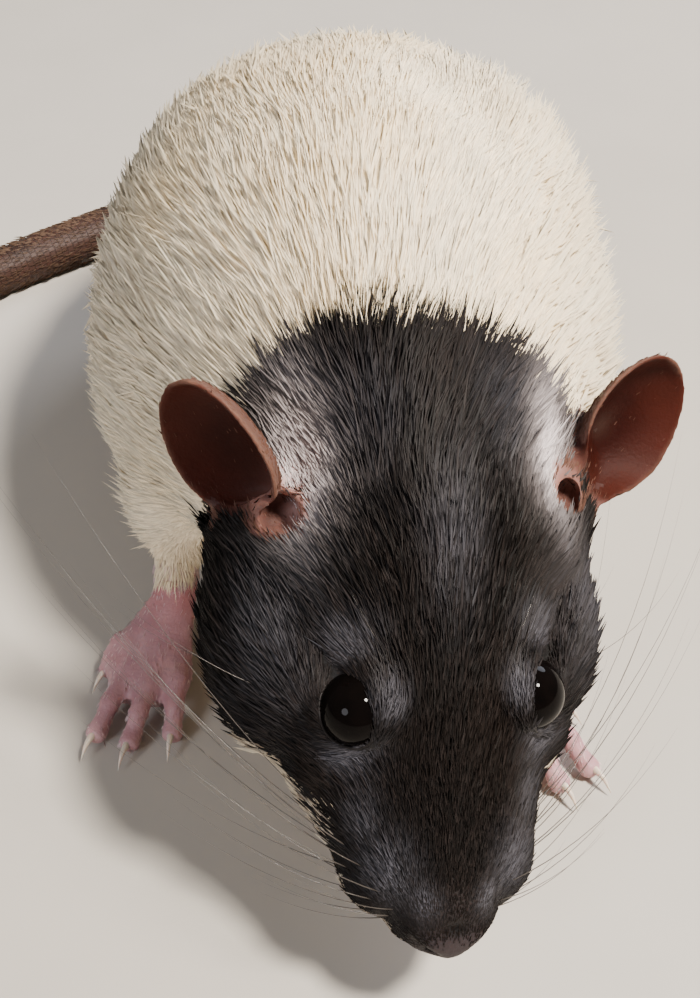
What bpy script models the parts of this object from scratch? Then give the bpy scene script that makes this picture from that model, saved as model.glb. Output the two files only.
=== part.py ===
"""A pet rat at life size, hunched over its forefeet, for a shelf or a museum case.

The rat looks towards -Y and stands on the floor at z = 0. Its right side is towards -X.
Tables of sizes are in millimetres, and everything that reaches Blender is in metres.
"""

import math

import bmesh
import bpy
from mathutils import Matrix, Vector

MM = 0.001
GAP = 0.3 * MM  # between two nodes that meet
SIDES = {"right": -1, "left": 1}

# The head has a frame of its own: its origin is midway between the eyes, -Y runs to the nose and
# +Z to the crown. It hangs nose down, turned a little to the left and tilted with it.
HEAD_AT = (7.6, 13.8, 27.8)
HEAD_PITCH = 32.0
HEAD_YAW = 7.5
HEAD_ROLL = 12.7

EYE_RADIUS = 3.2
EYE_AT = (7.75, -1.1, 0.8)  # of the left eye, in the head's frame
EYE_LOOKS = (0.66, -0.20, 0.72)
LIDS_OPEN = (68.0, 54.0)  # half the angle between the lids: along the head and across it

# Place along the head's axis, bend aside towards the body, height of the widest line, half width,
# rise above and drop below that line, and how square the upper half is (2 is round, less a ridge).
HEAD_SECTIONS = (
    (-22.1, 0.0, -5.7, 1.4, 1.2, 1.3, 2.0),
    (-21.4, 0.0, -5.8, 2.7, 2.4, 2.6, 2.0),
    (-19.8, 0.0, -6.0, 3.7, 3.6, 3.7, 2.0),
    (-17.0, 0.0, -6.4, 4.9, 5.4, 4.5, 1.9),
    (-13.0, 0.0, -6.8, 8.4, 7.2, 5.0, 1.75),
    (-8.5, 0.0, -6.8, 11.3, 9.2, 5.8, 1.6),
    (-4.0, 0.0, -6.6, 13.6, 10.9, 7.0, 1.5),
    (0.0, -0.1, -6.4, 15.0, 12.1, 8.4, 1.45),
    (5.0, -0.4, -6.0, 16.4, 13.4, 9.8, 1.6),
    (10.0, -0.8, -5.5, 17.4, 13.8, 11.0, 1.65),
    (16.0, -1.3, -5.0, 17.4, 13.6, 11.5, 1.65),
    (22.0, -1.8, -4.5, 17.0, 12.3, 11.0, 1.7),
    (27.0, -2.0, -4.0, 13.0, 7.0, 8.0, 2.0),
)
# Swellings on each side of the head: place and radii, for the left side.
HEAD_SWELLINGS = {
    "whisker_pad": ((4.3, -13.4, -7.4), (4.0, 5.2, 3.8)),
    "upper_lip": ((2.3, -18.2, -8.2), (2.2, 2.9, 2.2)),
    "brow": ((5.0, 0.6, 1.5), (2.8, 5.0, 2.2)),
    "eye_mound": (EYE_AT, (EYE_RADIUS + 0.8,) * 3),
    "cheekbone": ((9.8, -2.0, -3.7), (3.6, 6.0, 2.7)),
    "cheek": ((11.2, 7.0, -6.2), (7.4, 12.0, 8.4)),
    "ear_root": ((11.4, 18.6, 0.0), (3.4, 4.6, 3.8)),
}
NOSE_PAD = ((0.0, -21.0, -5.3), (2.7, 1.6, 1.8))
NOSTRIL = ((1.8, -21.8, -5.2), (0.6, 1.3, 0.75))
MOUTH_LEVEL = -9.9  # the slit between the lips, at the corner of the mouth
MOUTH_FROM, MOUTH_TO = -22.0, -12.5
MOUTH_RISES = 4.0  # degrees, towards the nose
MOUTH_WIDE = 0.5
LIP_DEEP = 1.3
CHIN = ((0.0, -10.6, -10.2), (4.8, 7.6, 3.1))

# Trunk and neck, from the rump to inside the head: x, y and z of the widest line, the tilt of the
# section in degrees, then half width, rise, drop and how square the upper half is.
TRUNK_SECTIONS = (
    (0.0, 119.0, 14.0, 0.0, 3.5, 2.0, 2.5, 2.0),
    (0.0, 116.5, 14.5, 0.0, 11.5, 7.5, 7.0, 2.0),
    (0.0, 111.0, 15.5, 0.0, 20.5, 15.0, 11.0, 2.0),
    (0.0, 103.0, 17.0, 0.0, 27.0, 22.5, 14.0, 1.95),
    (0.0, 94.0, 18.0, 0.0, 30.0, 28.6, 15.8, 1.95),
    (0.0, 85.0, 18.5, 0.0, 31.0, 33.2, 16.4, 1.95),
    (-0.3, 76.0, 19.0, 0.0, 31.3, 36.0, 16.8, 1.95),
    (-0.2, 66.0, 20.0, 0.0, 30.6, 36.9, 16.8, 1.95),
    (0.2, 56.0, 21.5, 0.0, 29.0, 35.2, 15.6, 1.9),
    (1.2, 47.0, 23.5, 3.0, 26.4, 30.6, 14.0, 1.85),
    (2.8, 39.0, 26.0, 12.0, 22.4, 24.3, 13.6, 1.75),
    (4.6, 32.0, 27.5, 24.0, 18.6, 19.6, 13.4, 1.65),
    (6.0, 26.0, 28.0, 31.0, 15.6, 15.4, 12.6, 1.65),
    (7.0, 20.0, 27.6, 32.0, 11.0, 9.0, 9.5, 1.5),
)
SHOULDER = ((17.6, 49.5, 19.5), (7.8, 10.5, 10.5))
HAUNCH = ((19.6, 80.5, 20.5), (12.2, 21.0, 15.5))
HAUNCH_SEAM = ((27.5, 82.5, 14.0), (13.5, 25.5, 22.0))  # where the hind leg parts from the torso
TAIL_ROOT = ((-1.5, 115.5, 12.2), (7.2, 7.0, 6.2))

# Where the neck parts from the head, in the head's frame, and from the torso, in the world.
NECK_FRONT = 17.5
NECK_BACK = (2.2, 43.0, 26.0)
NECK_BACK_TILT = 12.0

# Each ear: where it grows, where it points, what way its cup opens and where its canal runs in,
# in the head's frame.
EARS = {
    "right": {
        "at": (-15.5, 14.2, 0.7),
        "points": (-0.437, 0.754, 0.490),
        "opens": (-0.696, -0.701, 0.157),
        "canal": (-12.9, 15.6, 2.6),
    },
    "left": {
        "at": (17.0, 16.4, 0.9),
        "points": (0.597, 0.750, 0.285),
        "opens": (0.240, -0.675, 0.698),
        "canal": (13.9, 15.8, 1.8),
    },
}
EAR_LENGTH = 14.4
EAR_HALF_WIDTH = 6.2
EAR_DEEP = 4.2
EAR_WIDEST = 0.46  # share of the length
EAR_ROOT = 0.38  # share of the half width
EAR_SUNK = 0.2  # share of the length that runs on into the head
EAR_THICK = 0.85
EAR_CANAL_RADIUS = 1.9

# Each toe: where it leaves the foot (across, along), the way it turns outward, and its length.
# Each step of a sole: its place across, along and up, and its radius.
FORE = {
    "at": {"right": (-19.2, 41.6, 0.0), "left": (14.4, 35.2, 0.0)},
    "outward": {"right": 14.0, "left": 27.0},
    "toes": (
        (-2.7, -7.4, -9.0, 6.4),
        (0.1, -8.6, 3.0, 7.3),
        (3.0, -7.6, 10.0, 8.2),
        (5.2, -4.0, 18.0, 3.5),
    ),
    "toe_radius": 1.42,
    "knuckle": 3.6,
    "sole": (
        (0.0, 3.0, 10.5, 2.5),
        (0.1, 0.0, 7.6, 2.9),
        (0.8, -2.8, 4.9, 4.1),
        (1.2, -5.6, 3.1, 4.9),
        (1.0, -8.0, 2.4, 4.5),
        (0.7, -10.2, 1.8, 3.0),
    ),
    "sole_flat": 0.62,
    "triangles": 700,
}
HIND = {
    "at": {"right": (-18.5, 103.0, 0.0), "left": (18.5, 103.0, 0.0)},
    "outward": {"right": 8.0, "left": 8.0},
    "toes": (
        (-3.6, -19.0, -16.0, 6.4),
        (-2.9, -24.2, -7.0, 9.6),
        (-0.5, -25.4, 0.0, 10.2),
        (1.9, -24.4, 7.0, 9.6),
        (3.9, -20.5, 15.0, 7.2),
    ),
    "toe_radius": 1.25,
    "knuckle": 3.3,
    "sole": (
        (0.0, 2.6, 3.4, 1.6),
        (0.0, 1.4, 3.0, 3.0),
        (0.0, -4.5, 2.6, 3.6),
        (0.0, -12.0, 2.6, 3.7),
        (0.1, -20.0, 2.9, 4.4),
        (0.2, -25.0, 2.5, 4.1),
        (0.2, -28.0, 1.8, 2.8),
    ),
    "sole_flat": 0.72,
    "triangles": 960,
    "ankle": ((0.0, -3.2, 7.4), (2.8, 4.6, 5.4)),
}
TOE_STEPS = (  # share of the toe's length, of the knuckle's height and of the toe's radius
    (-0.35, 0.86, 1.15),
    (0.0, 0.92, 1.08),
    (0.30, 0.92, 0.95),
    (0.58, 0.66, 0.90),
    (0.80, 0.40, 1.02),
    (0.94, 0.32, 0.86),
    (1.02, 0.30, 0.42),
)
CLAW = {"length": 1.8, "radius": 0.42, "drop": 0.8, "arch": 0.35, "sunk": 0.9, "above": 0.55}
# Each fore leg above the wrist: an elbow by the ribs and a shoulder inside them, with radii.
FORE_LEGS = {
    "right": ((-19.0, 42.6, 9.6, 2.7), (-18.6, 45.6, 14.0, 3.5), (-17.0, 50.0, 19.0, 5.0)),
    "left": ((13.6, 37.4, 9.6, 2.7), (15.4, 42.0, 14.0, 3.5), (17.0, 49.0, 19.0, 5.0)),
}

TAIL_LINE = (  # x, y and height of the tail's middle, then its radius, from root to tip
    (-0.5, 111.0, 12.4, 5.1),
    (-6.0, 118.6, 10.0, 4.6),
    (-15.0, 123.6, 6.6, 4.1),
    (-26.0, 123.8, 4.4, 3.8),
    (-38.0, 118.6, 3.5, 3.5),
    (-51.2, 109.2, 3.2, 3.25),
    (-64.0, 97.0, 2.9, 3.0),
    (-75.5, 82.0, 2.6, 2.7),
    (-83.5, 64.5, 2.2, 2.3),
    (-87.0, 46.0, 1.8, 1.9),
    (-86.0, 27.5, 1.4, 1.5),
    (-81.0, 10.5, 1.0, 1.1),
    (-74.5, -3.5, 0.7, 0.75),
)
TAIL_PARTS = 4
TAIL_SIDES = 10

# How each flesh is knitted: the grain of its skin, the times it is smoothed and its triangles.
BODY_KNIT = (1.1, 12, 3340)
HEAD_KNIT = (0.55, 6, 3380)
FOOT_KNIT = (0.4, 3)
FLOOR_BLOCK = ((0.0, 60.0, -10.0), (300.0, 300.0, 20.0))  # all below the floor
SHARP_EDGE = 50.0  # degrees, where smooth shading stops

COAT_DARK = (0.045, 0.042, 0.045, 1.0)
COAT_PALE = (0.66, 0.62, 0.52, 1.0)
SKIN_PINK = (0.62, 0.34, 0.32, 1.0)
EAR_BROWN = (0.30, 0.15, 0.13, 1.0)
TAIL_BROWN = (0.42, 0.28, 0.23, 1.0)
EYE_BLACK = (0.006, 0.005, 0.006, 1.0)


def clear_scene():
    for obj in list(bpy.data.objects):
        bpy.data.objects.remove(obj, do_unlink=True)


def material(name, colour, roughness):
    made = bpy.data.materials.new(name)
    made.use_nodes = True
    shader = made.node_tree.nodes["Principled BSDF"]
    shader.inputs["Base Color"].default_value = colour
    shader.inputs["Roughness"].default_value = roughness
    shader.inputs["Metallic"].default_value = 0.0
    return made


def head_matrix():
    turned = (
        Matrix.Rotation(math.radians(HEAD_YAW), 4, "Z")
        @ Matrix.Rotation(math.radians(HEAD_PITCH), 4, "X")
        @ Matrix.Rotation(math.radians(HEAD_ROLL), 4, "Y")
    )
    return Matrix.Translation(Vector(HEAD_AT) * MM) @ turned


def smooth_rows(rows, steps):
    """The rows with steps - 1 more between each two, on a Catmull-Rom curve through all columns."""
    table = [Vector(row) for row in rows]
    padded = [2 * table[0] - table[1], *table, 2 * table[-1] - table[-2]]
    found = []
    for before, start, end, after in zip(padded, padded[1:], padded[2:], padded[3:]):
        for k in range(steps):
            t = k / steps
            found.append(
                0.5
                * (
                    2 * start
                    + (end - before) * t
                    + (2 * before - 5 * start + 4 * end - after) * t**2
                    + (3 * start - before - 3 * end + after) * t**3
                )
            )
    found.append(table[-1])
    return found


def power(value, exponent):
    return math.copysign(abs(value) ** exponent, value)


def section_ring(centre, side, up, half_width, rise, drop, square, count):
    """Points round a section that is widest at its centre, with its own height above and below."""
    ring = []
    for k in range(count):
        angle = 2 * math.pi * k / count
        across, high = math.cos(angle), math.sin(angle)
        bend = 2 / square if high > 0 else 1.0
        height = rise if high > 0 else drop
        ring.append(
            centre + side * half_width * power(across, bend) + up * height * power(high, bend)
        )
    return ring


def new_object(name, mesh):
    obj = bpy.data.objects.new(name, mesh)
    bpy.context.collection.objects.link(obj)
    return obj


def loft(name, rings):
    """A closed solid through the rings, with a fan over each end."""
    shape = bmesh.new()
    rows = [[shape.verts.new(point) for point in ring] for ring in rings]
    count = len(rings[0])
    for low, high in zip(rows, rows[1:]):
        for k in range(count):
            after = (k + 1) % count
            shape.faces.new((low[k], low[after], high[after], high[k]))
    for row, ring in ((rows[0], rings[0]), (rows[-1], rings[-1])):
        middle = shape.verts.new(sum(ring, Vector()) / count)
        for k in range(count):
            shape.faces.new((row[k], row[(k + 1) % count], middle))
    bmesh.ops.recalc_face_normals(shape, faces=shape.faces)
    mesh = bpy.data.meshes.new(name)
    shape.to_mesh(mesh)
    shape.free()
    return new_object(name, mesh)


def ball(name, centre, radii, matrix=Matrix.Identity(4), rings=20):
    """An ellipsoid, with its centre and radii in millimetres, in the frame of the matrix."""
    shape = bmesh.new()
    bmesh.ops.create_uvsphere(shape, u_segments=2 * rings, v_segments=rings, radius=1.0)
    placed = Matrix.Translation(Vector(centre) * MM) @ Matrix.Diagonal((*radii, 1.0 / MM)) * MM
    shape.transform(matrix @ placed)
    mesh = bpy.data.meshes.new(name)
    shape.to_mesh(mesh)
    shape.free()
    return new_object(name, mesh)


def block(name, centre, size, matrix=Matrix.Identity(4)):
    """A box, with its centre and size in millimetres, in the frame of the matrix."""
    shape = bmesh.new()
    bmesh.ops.create_cube(shape, size=1.0)
    placed = Matrix.Translation(Vector(centre) * MM) @ Matrix.Diagonal((*size, 1.0 / MM)) * MM
    shape.transform(matrix @ placed)
    mesh = bpy.data.meshes.new(name)
    shape.to_mesh(mesh)
    shape.free()
    return new_object(name, mesh)


def mirrored(place, side):
    return (place[0] * side, place[1], place[2])


def settle(obj):
    """Replaces the object's mesh by what its modifiers make of it."""
    graph = bpy.context.evaluated_depsgraph_get()
    made = bpy.data.meshes.new_from_object(obj.evaluated_get(graph), depsgraph=graph)
    obj.modifiers.clear()
    old = obj.data
    obj.data = made
    bpy.data.meshes.remove(old)
    return obj


def duplicate(obj, name):
    return new_object(name, obj.data.copy())


def remove(*objects):
    for obj in objects:
        bpy.data.objects.remove(obj, do_unlink=True)


def join(name, pieces):
    """One object that holds the meshes of all the pieces, which are then removed."""
    shape = bmesh.new()
    for piece in pieces:
        shape.from_mesh(piece.data)
    mesh = bpy.data.meshes.new(name)
    shape.to_mesh(mesh)
    shape.free()
    remove(*pieces)
    return new_object(name, mesh)


def knit(name, pieces, voxel, rubs, triangles):
    """Melts the pieces into one smooth skin of about that many triangles."""
    obj = join(name, pieces)
    melt = obj.modifiers.new("melt", "REMESH")
    melt.mode = "VOXEL"
    melt.voxel_size = voxel * MM
    rub = obj.modifiers.new("rub", "SMOOTH")
    rub.factor = 0.5
    rub.iterations = rubs
    settle(obj)
    thin = obj.modifiers.new("thin", "DECIMATE")
    thin.ratio = triangles / (2 * len(obj.data.polygons))
    return settle(obj)


def boolean(obj, operation, others):
    """Joins the others to the object, or cuts or keeps what they cover, and removes them."""
    group = bpy.data.collections.new(operation)
    bpy.context.scene.collection.children.link(group)
    for other in others:
        group.objects.link(other)
    step = obj.modifiers.new(operation, "BOOLEAN")
    step.operation = operation
    step.operand_type = "COLLECTION"
    step.collection = group
    step.solver = "MANIFOLD"  # every mesh is closed, and the exact way loses some of these cuts
    settle(obj)
    remove(*others)
    bpy.data.collections.remove(group)
    return keep_largest(obj)


def move_to_origin():
    """Sets the whole rat on the origin, which is then below the middle of its bounds."""
    spots = [vert.co for obj in bpy.data.objects for vert in obj.data.vertices]
    low = Vector([min(spot[axis] for spot in spots) for axis in range(3)])
    high = Vector([max(spot[axis] for spot in spots) for axis in range(3)])
    shift = Vector((-(low.x + high.x) / 2, -(low.y + high.y) / 2, -low.z))
    for obj in bpy.data.objects:
        obj.data.transform(Matrix.Translation(shift))


def keep_largest(obj):
    """Keeps the object's largest closed surface and drops loose scraps and sealed hollows."""
    shape = bmesh.new()
    shape.from_mesh(obj.data)
    bmesh.ops.remove_doubles(shape, verts=shape.verts, dist=0.0005 * MM)
    left = set(shape.verts)
    groups = []
    while left:
        group, edge_of_group = set(), [left.pop()]
        while edge_of_group:
            vert = edge_of_group.pop()
            group.add(vert)
            for edge in vert.link_edges:
                other = edge.other_vert(vert)
                if other in left:
                    left.remove(other)
                    edge_of_group.append(other)
        groups.append(group)
    largest = max(groups, key=len)
    scraps = [vert for group in groups if group is not largest for vert in group]
    bmesh.ops.delete(shape, geom=scraps, context="VERTS")
    shape.to_mesh(obj.data)
    shape.free()
    return obj


def grown(obj, name, by=GAP):
    """A copy of the object that stands out from it by the gap on every side."""
    copy = duplicate(obj, name)
    swell = copy.modifiers.new("swell", "DISPLACE")
    swell.strength = by
    swell.mid_level = 0.0
    return settle(copy)


def finish(obj, look):
    obj.data.materials.clear()
    obj.data.materials.append(look)
    obj.data.shade_smooth()
    obj.data.set_sharp_from_angle(angle=math.radians(SHARP_EDGE))
    return obj


def sweep(name, rows, count=40):
    """The trunk's solid: sections across the spine, each tilted about the X axis."""
    rings = []
    for x, y, z, tilt, *sizes, square in smooth_rows(rows, 4):
        lean = math.radians(tilt)
        up = Vector((0.0, -math.sin(lean), math.cos(lean)))
        centre = Vector((x, y, z)) * MM
        half_width, rise, drop = [size * MM for size in sizes]
        side = Vector((1, 0, 0))
        rings.append(section_ring(centre, side, up, half_width, rise, drop, square, count))
    return loft(name, rings)


def head_loft(name, rows, matrix, count=40, inset=0.0):
    """The head's solid, or one that lies inside it by the inset."""
    rings = []
    side, up = matrix.to_3x3() @ Vector((1, 0, 0)), matrix.to_3x3() @ Vector((0, 0, 1))
    for along, aside, level, half_width, rise, drop, square in smooth_rows(rows, 4):
        centre = matrix @ (Vector((aside, along, level)) * MM)
        sizes = [max(0.1, size - inset) * MM for size in (half_width, rise, drop)]
        rings.append(section_ring(centre, side, up, *sizes, square, count))
    return loft(name, rings)


def tube(name, points, radii, count=12, flat=1.0, up=Vector((0, 0, 1))):
    """A round limb through the points, in metres. flat squeezes it along the up direction."""
    rings = []
    for k, (point, radius) in enumerate(zip(points, radii)):
        before, after = points[max(0, k - 1)], points[min(len(points) - 1, k + 1)]
        along = (after - before).normalized()
        side = along.cross(up).normalized()
        high = side.cross(along)
        rings.append(
            section_ring(point, side, high, radius, radius * flat, radius * flat, 2.0, count)
        )
    return loft(name, rings)


def head_pieces(matrix):
    pieces = [head_loft("skull", HEAD_SECTIONS, matrix)]
    for side in SIDES.values():
        for label, (place, radii) in HEAD_SWELLINGS.items():
            x, y, z = mirrored(place, side)
            pieces.append(ball(label, (x + min(0.0, -0.08 * y), y, z), radii, matrix))
    pieces.append(ball("nose_pad", *NOSE_PAD, matrix))
    pieces.append(ball("chin", *CHIN, matrix))
    pieces.append(sweep("neck", TRUNK_SECTIONS[8:]))
    return pieces


def mouth_slit(matrix):
    """A thin plate round the muzzle, open in the middle, that cuts the line of the mouth."""
    length = MOUTH_TO - MOUTH_FROM
    tilt = Matrix.Rotation(math.radians(MOUTH_RISES), 4, "X")
    hinge = Matrix.Translation(Vector((0, MOUTH_TO, MOUTH_LEVEL)) * MM)
    frame = matrix @ hinge @ tilt.inverted()
    plate = block("mouth", (0, -length / 2, 0), (24, length, MOUTH_WIDE), frame)
    inside = head_loft("inside", HEAD_SECTIONS[:8], matrix, inset=LIP_DEEP)
    return boolean(plate, "DIFFERENCE", [inside])


def lids_opening(name, centre, looks, matrix):
    """The opening between the lids: a cone from the eye's middle, then a post along its gaze."""
    gaze = Vector(looks).normalized()
    along = Vector((0, -1, 0))
    along = (along - gaze * along.dot(gaze)).normalized()
    across = gaze.cross(along)
    rings = []
    for reach, onward in ((0.6, 0.0), (EYE_RADIUS + 1.0, 0.0), (EYE_RADIUS + 1.0, 5.0)):
        ring = []
        for k in range(20):
            turn = 2 * math.pi * k / 20
            wide, narrow = (math.radians(angle) for angle in LIDS_OPEN)
            angle = math.hypot(wide * math.cos(turn), narrow * math.sin(turn))
            out = along * math.cos(turn) + across * math.sin(turn)
            spot = (gaze * math.cos(angle) + out * math.sin(angle)) * reach + gaze * onward
            ring.append(matrix @ ((Vector(centre) + spot) * MM))
        rings.append(ring)
    return loft(name, rings)


def ear_half_width(t):
    if t > EAR_WIDEST:
        return EAR_HALF_WIDTH * math.sqrt(max(0.0, 1 - ((t - EAR_WIDEST) / (1 - EAR_WIDEST)) ** 2))
    share = max(0.0, t / EAR_WIDEST)
    return EAR_HALF_WIDTH * (EAR_ROOT + (1 - EAR_ROOT) * math.sin(share * math.pi / 2))


def ear_deep(t):
    return EAR_DEEP * (1.15 - 0.35 * t) * math.sqrt(max(0.0, 1 - t**4))


def ear_shell(name, place, rows=12, columns=10):
    """A cupped leaf of one thickness, triangulated alike on both faces."""
    points = Vector(place["points"]).normalized()
    opens = Vector(place["opens"])
    opens = (opens - points * opens.dot(points)).normalized()
    across = points.cross(opens)
    start = Vector(place["at"])
    shape = bmesh.new()
    grid = []
    for i in range(rows):
        t = math.sin(i / (rows - 1) * math.pi / 2) * (1 + EAR_SUNK) - EAR_SUNK
        row = []
        for j in range(columns + 1):
            s = math.sin((2 * j / columns - 1) * math.pi / 2)
            spot = start + points * (EAR_LENGTH * t) + across * (ear_half_width(t) * s)
            spot -= opens * (ear_deep(t) * (1 - s**2))
            row.append(shape.verts.new(spot * MM))
        grid.append(row)
    for i in range(rows - 1):
        for j in range(columns):
            shape.faces.new((grid[i][j], grid[i][j + 1], grid[i + 1][j + 1], grid[i + 1][j]))
    bmesh.ops.remove_doubles(shape, verts=grid[-1], dist=0.01 * MM)
    bmesh.ops.triangulate(shape, faces=shape.faces)
    mesh = bpy.data.meshes.new(name)
    shape.to_mesh(mesh)
    shape.free()
    obj = new_object(name, mesh)
    thick = obj.modifiers.new("thick", "SOLIDIFY")
    thick.thickness = EAR_THICK * MM
    thick.offset = 0.0
    return settle(obj)


def foot_frame(at, outward, side):
    """A foot's frame: -Y runs along its toes and +X to its outer side."""
    turn = Matrix.Rotation(math.radians(side * outward), 4, "Z")
    return Matrix.Translation(Vector(at) * MM) @ turn @ Matrix.Diagonal((side, 1, 1, 1))


def limb(name, rows, frame, count, flat=1.0):
    """A tube through rows of x, y, z and radius, in millimetres, in the frame."""
    points = [frame @ (Vector(row[:3]) * MM) for row in rows]
    return tube(name, points, [row[3] * MM for row in rows], count, flat)


def toe_rows(root_x, root_y, turn, length, knuckle, radius):
    """A toe's middle line and radii: up over the knuckle and down to a round pad."""
    way = Vector((math.sin(math.radians(turn)), -math.cos(math.radians(turn)), 0))
    rows = []
    for along, high, wide in TOE_STEPS:
        spot = Vector((root_x, root_y, knuckle * high)) + way * (length * along)
        rows.append((*spot, radius * wide))
    return rows, way


def claw_rows(tip, way):
    """A claw's line: forward from the top of the toe's end, hooking down to a point."""
    start = Vector(tip) + Vector((0, 0, CLAW["above"])) - way * CLAW["sunk"]
    rows = []
    for k in range(5):
        t = k / 4
        high = CLAW["arch"] * math.sin(math.pi * t) - CLAW["drop"] * t**2
        spot = start + way * ((CLAW["length"] + CLAW["sunk"]) * t) + Vector((0, 0, high))
        rows.append((*spot, CLAW["radius"] * (1 - 0.88 * t**1.3)))
    return rows


def foot(name, kind, which, cutters):
    """A foot with its toes and claws, flattened where it stands on the floor."""
    frame = foot_frame(kind["at"][which], kind["outward"][which], SIDES[which])
    flesh = [limb("sole", smooth_rows(kind["sole"], 2), frame, 16, kind["sole_flat"])]
    claws = []
    for toe in kind["toes"]:
        rows, way = toe_rows(*toe, kind["knuckle"], kind["toe_radius"])
        flesh.append(limb("toe", rows, frame, 12))
        claws.append(limb("claw", claw_rows(rows[-1][:3], way), frame, 5))
    if "ankle" in kind:
        flesh.append(ball("ankle", *kind["ankle"], frame))
    made = knit(name, flesh, *FOOT_KNIT, kind["triangles"])
    boolean(made, "UNION", claws)
    for cutter in [block("floor", *FLOOR_BLOCK), *cutters]:
        boolean(made, "DIFFERENCE", [cutter])
    return made


def tail_end(name, points, place, way):
    """A block beyond the seam at that place along the tail, and half a gap before it."""
    along = (points[place + 1] - points[place - 1]).normalized() * way
    turn = along.to_track_quat("Z", "Y").to_matrix().to_4x4()
    plane = Matrix.Translation(points[place] - along * GAP / 2) @ turn
    return block(name, (0, 0, 100), (200, 200, 200), plane)


def tail(clear_of_body):
    """The tail in a few lengths that meet face to face, flattened where it lies on the floor."""
    rows = smooth_rows(TAIL_LINE, 5)
    points = [Vector(row[:3]) * MM for row in rows]
    last = len(points) - 1
    whole = limb("tail", rows, Matrix.Identity(4), TAIL_SIDES)
    boolean(whole, "DIFFERENCE", [block("floor", *FLOOR_BLOCK)])
    seams = [round(k * last / TAIL_PARTS) for k in range(TAIL_PARTS + 1)]
    parts = []
    for k in range(TAIL_PARTS):
        part = duplicate(whole, f"tail_{k + 1}")
        if k > 0:
            boolean(part, "DIFFERENCE", [tail_end("before", points, seams[k], -1)])
        if k < TAIL_PARTS - 1:
            boolean(part, "DIFFERENCE", [tail_end("after", points, seams[k + 1], 1)])
        parts.append(part)
    remove(whole)
    boolean(parts[0], "DIFFERENCE", [duplicate(clear_of_body, "cutter")])
    return parts


def half_space(name, matrix, ahead):
    """A block that fills one side of the matrix's XZ plane and half a gap beyond it."""
    size = 200.0
    shift = (size / 2 - GAP / MM / 2) * (-1 if ahead else 1)
    return block(name, (0, shift, 0), (size, size, size), matrix)


def body_flesh():
    """Torso, neck and hind legs in one piece, before they are parted."""
    pieces = [sweep("trunk", TRUNK_SECTIONS), ball("tail_root", *TAIL_ROOT)]
    for side in SIDES.values():
        pieces.append(ball("shoulder", mirrored(SHOULDER[0], side), SHOULDER[1]))
        pieces.append(ball("haunch", mirrored(HAUNCH[0], side), HAUNCH[1]))
    return knit("torso", pieces, *BODY_KNIT)


def hind_leg(which, body):
    """The haunch: what a large ball over it takes of the body."""
    centre, radii = HAUNCH_SEAM
    thinner = [radius - GAP / MM for radius in radii]
    leg = duplicate(body, "hindleg_" + which)
    seam = ball("seam", mirrored(centre, SIDES[which]), thinner, rings=14)
    return boolean(leg, "INTERSECT", [seam])


def torso_and_neck(body, neck_front):
    """Takes the haunches out of the body and parts the rest at the neck's two ends."""
    for side in SIDES.values():
        seam = ball("seam", mirrored(HAUNCH_SEAM[0], side), HAUNCH_SEAM[1], rings=14)
        boolean(body, "DIFFERENCE", [seam])
    tilt = Matrix.Rotation(math.radians(NECK_BACK_TILT), 4, "X")
    neck_back = Matrix.Translation(Vector(NECK_BACK) * MM) @ tilt
    neck = duplicate(body, "neck")
    boolean(body, "DIFFERENCE", [half_space("ahead", neck_back, True)])
    boolean(neck, "DIFFERENCE", [half_space("behind", neck_back, False)])
    boolean(neck, "DIFFERENCE", [half_space("ahead", neck_front, True)])
    return body, neck


def carve_head(head, matrix, neck_front):
    """Parts the head from the neck and cuts its mouth, sockets, lids, nostrils and ear canals."""
    boolean(head, "DIFFERENCE", [half_space("behind", neck_front, False)])
    boolean(head, "DIFFERENCE", [mouth_slit(matrix)])
    for which, side in SIDES.items():
        at, looks = mirrored(EYE_AT, side), mirrored(EYE_LOOKS, side)
        cuts = [
            ball("socket", at, (EYE_RADIUS + GAP / MM,) * 3, matrix, 12),
            lids_opening("opening", at, looks, matrix),
            ball("nostril", mirrored(NOSTRIL[0], side), NOSTRIL[1], matrix, 5),
            ball("canal", EARS[which]["canal"], (EAR_CANAL_RADIUS,) * 3, matrix, 7),
        ]
        boolean(head, "DIFFERENCE", cuts)
    return head


def ear(which, matrix, cutters):
    """An ear's leaf, cut clear of the head and the body."""
    leaf = ear_shell("ear_" + which, EARS[which])
    leaf.data.transform(matrix)
    for cutter in cutters:
        boolean(leaf, "DIFFERENCE", [duplicate(cutter, "cutter")])
    return leaf


def fore_leg(which, clear_of_body):
    """The forearm from the wrist to where it enters the body."""
    rows = smooth_rows(FORE_LEGS[which], 3)
    leg = limb("foreleg_" + which, rows, Matrix.Identity(4), 16)
    return boolean(leg, "DIFFERENCE", [duplicate(clear_of_body, "cutter")])


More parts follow.
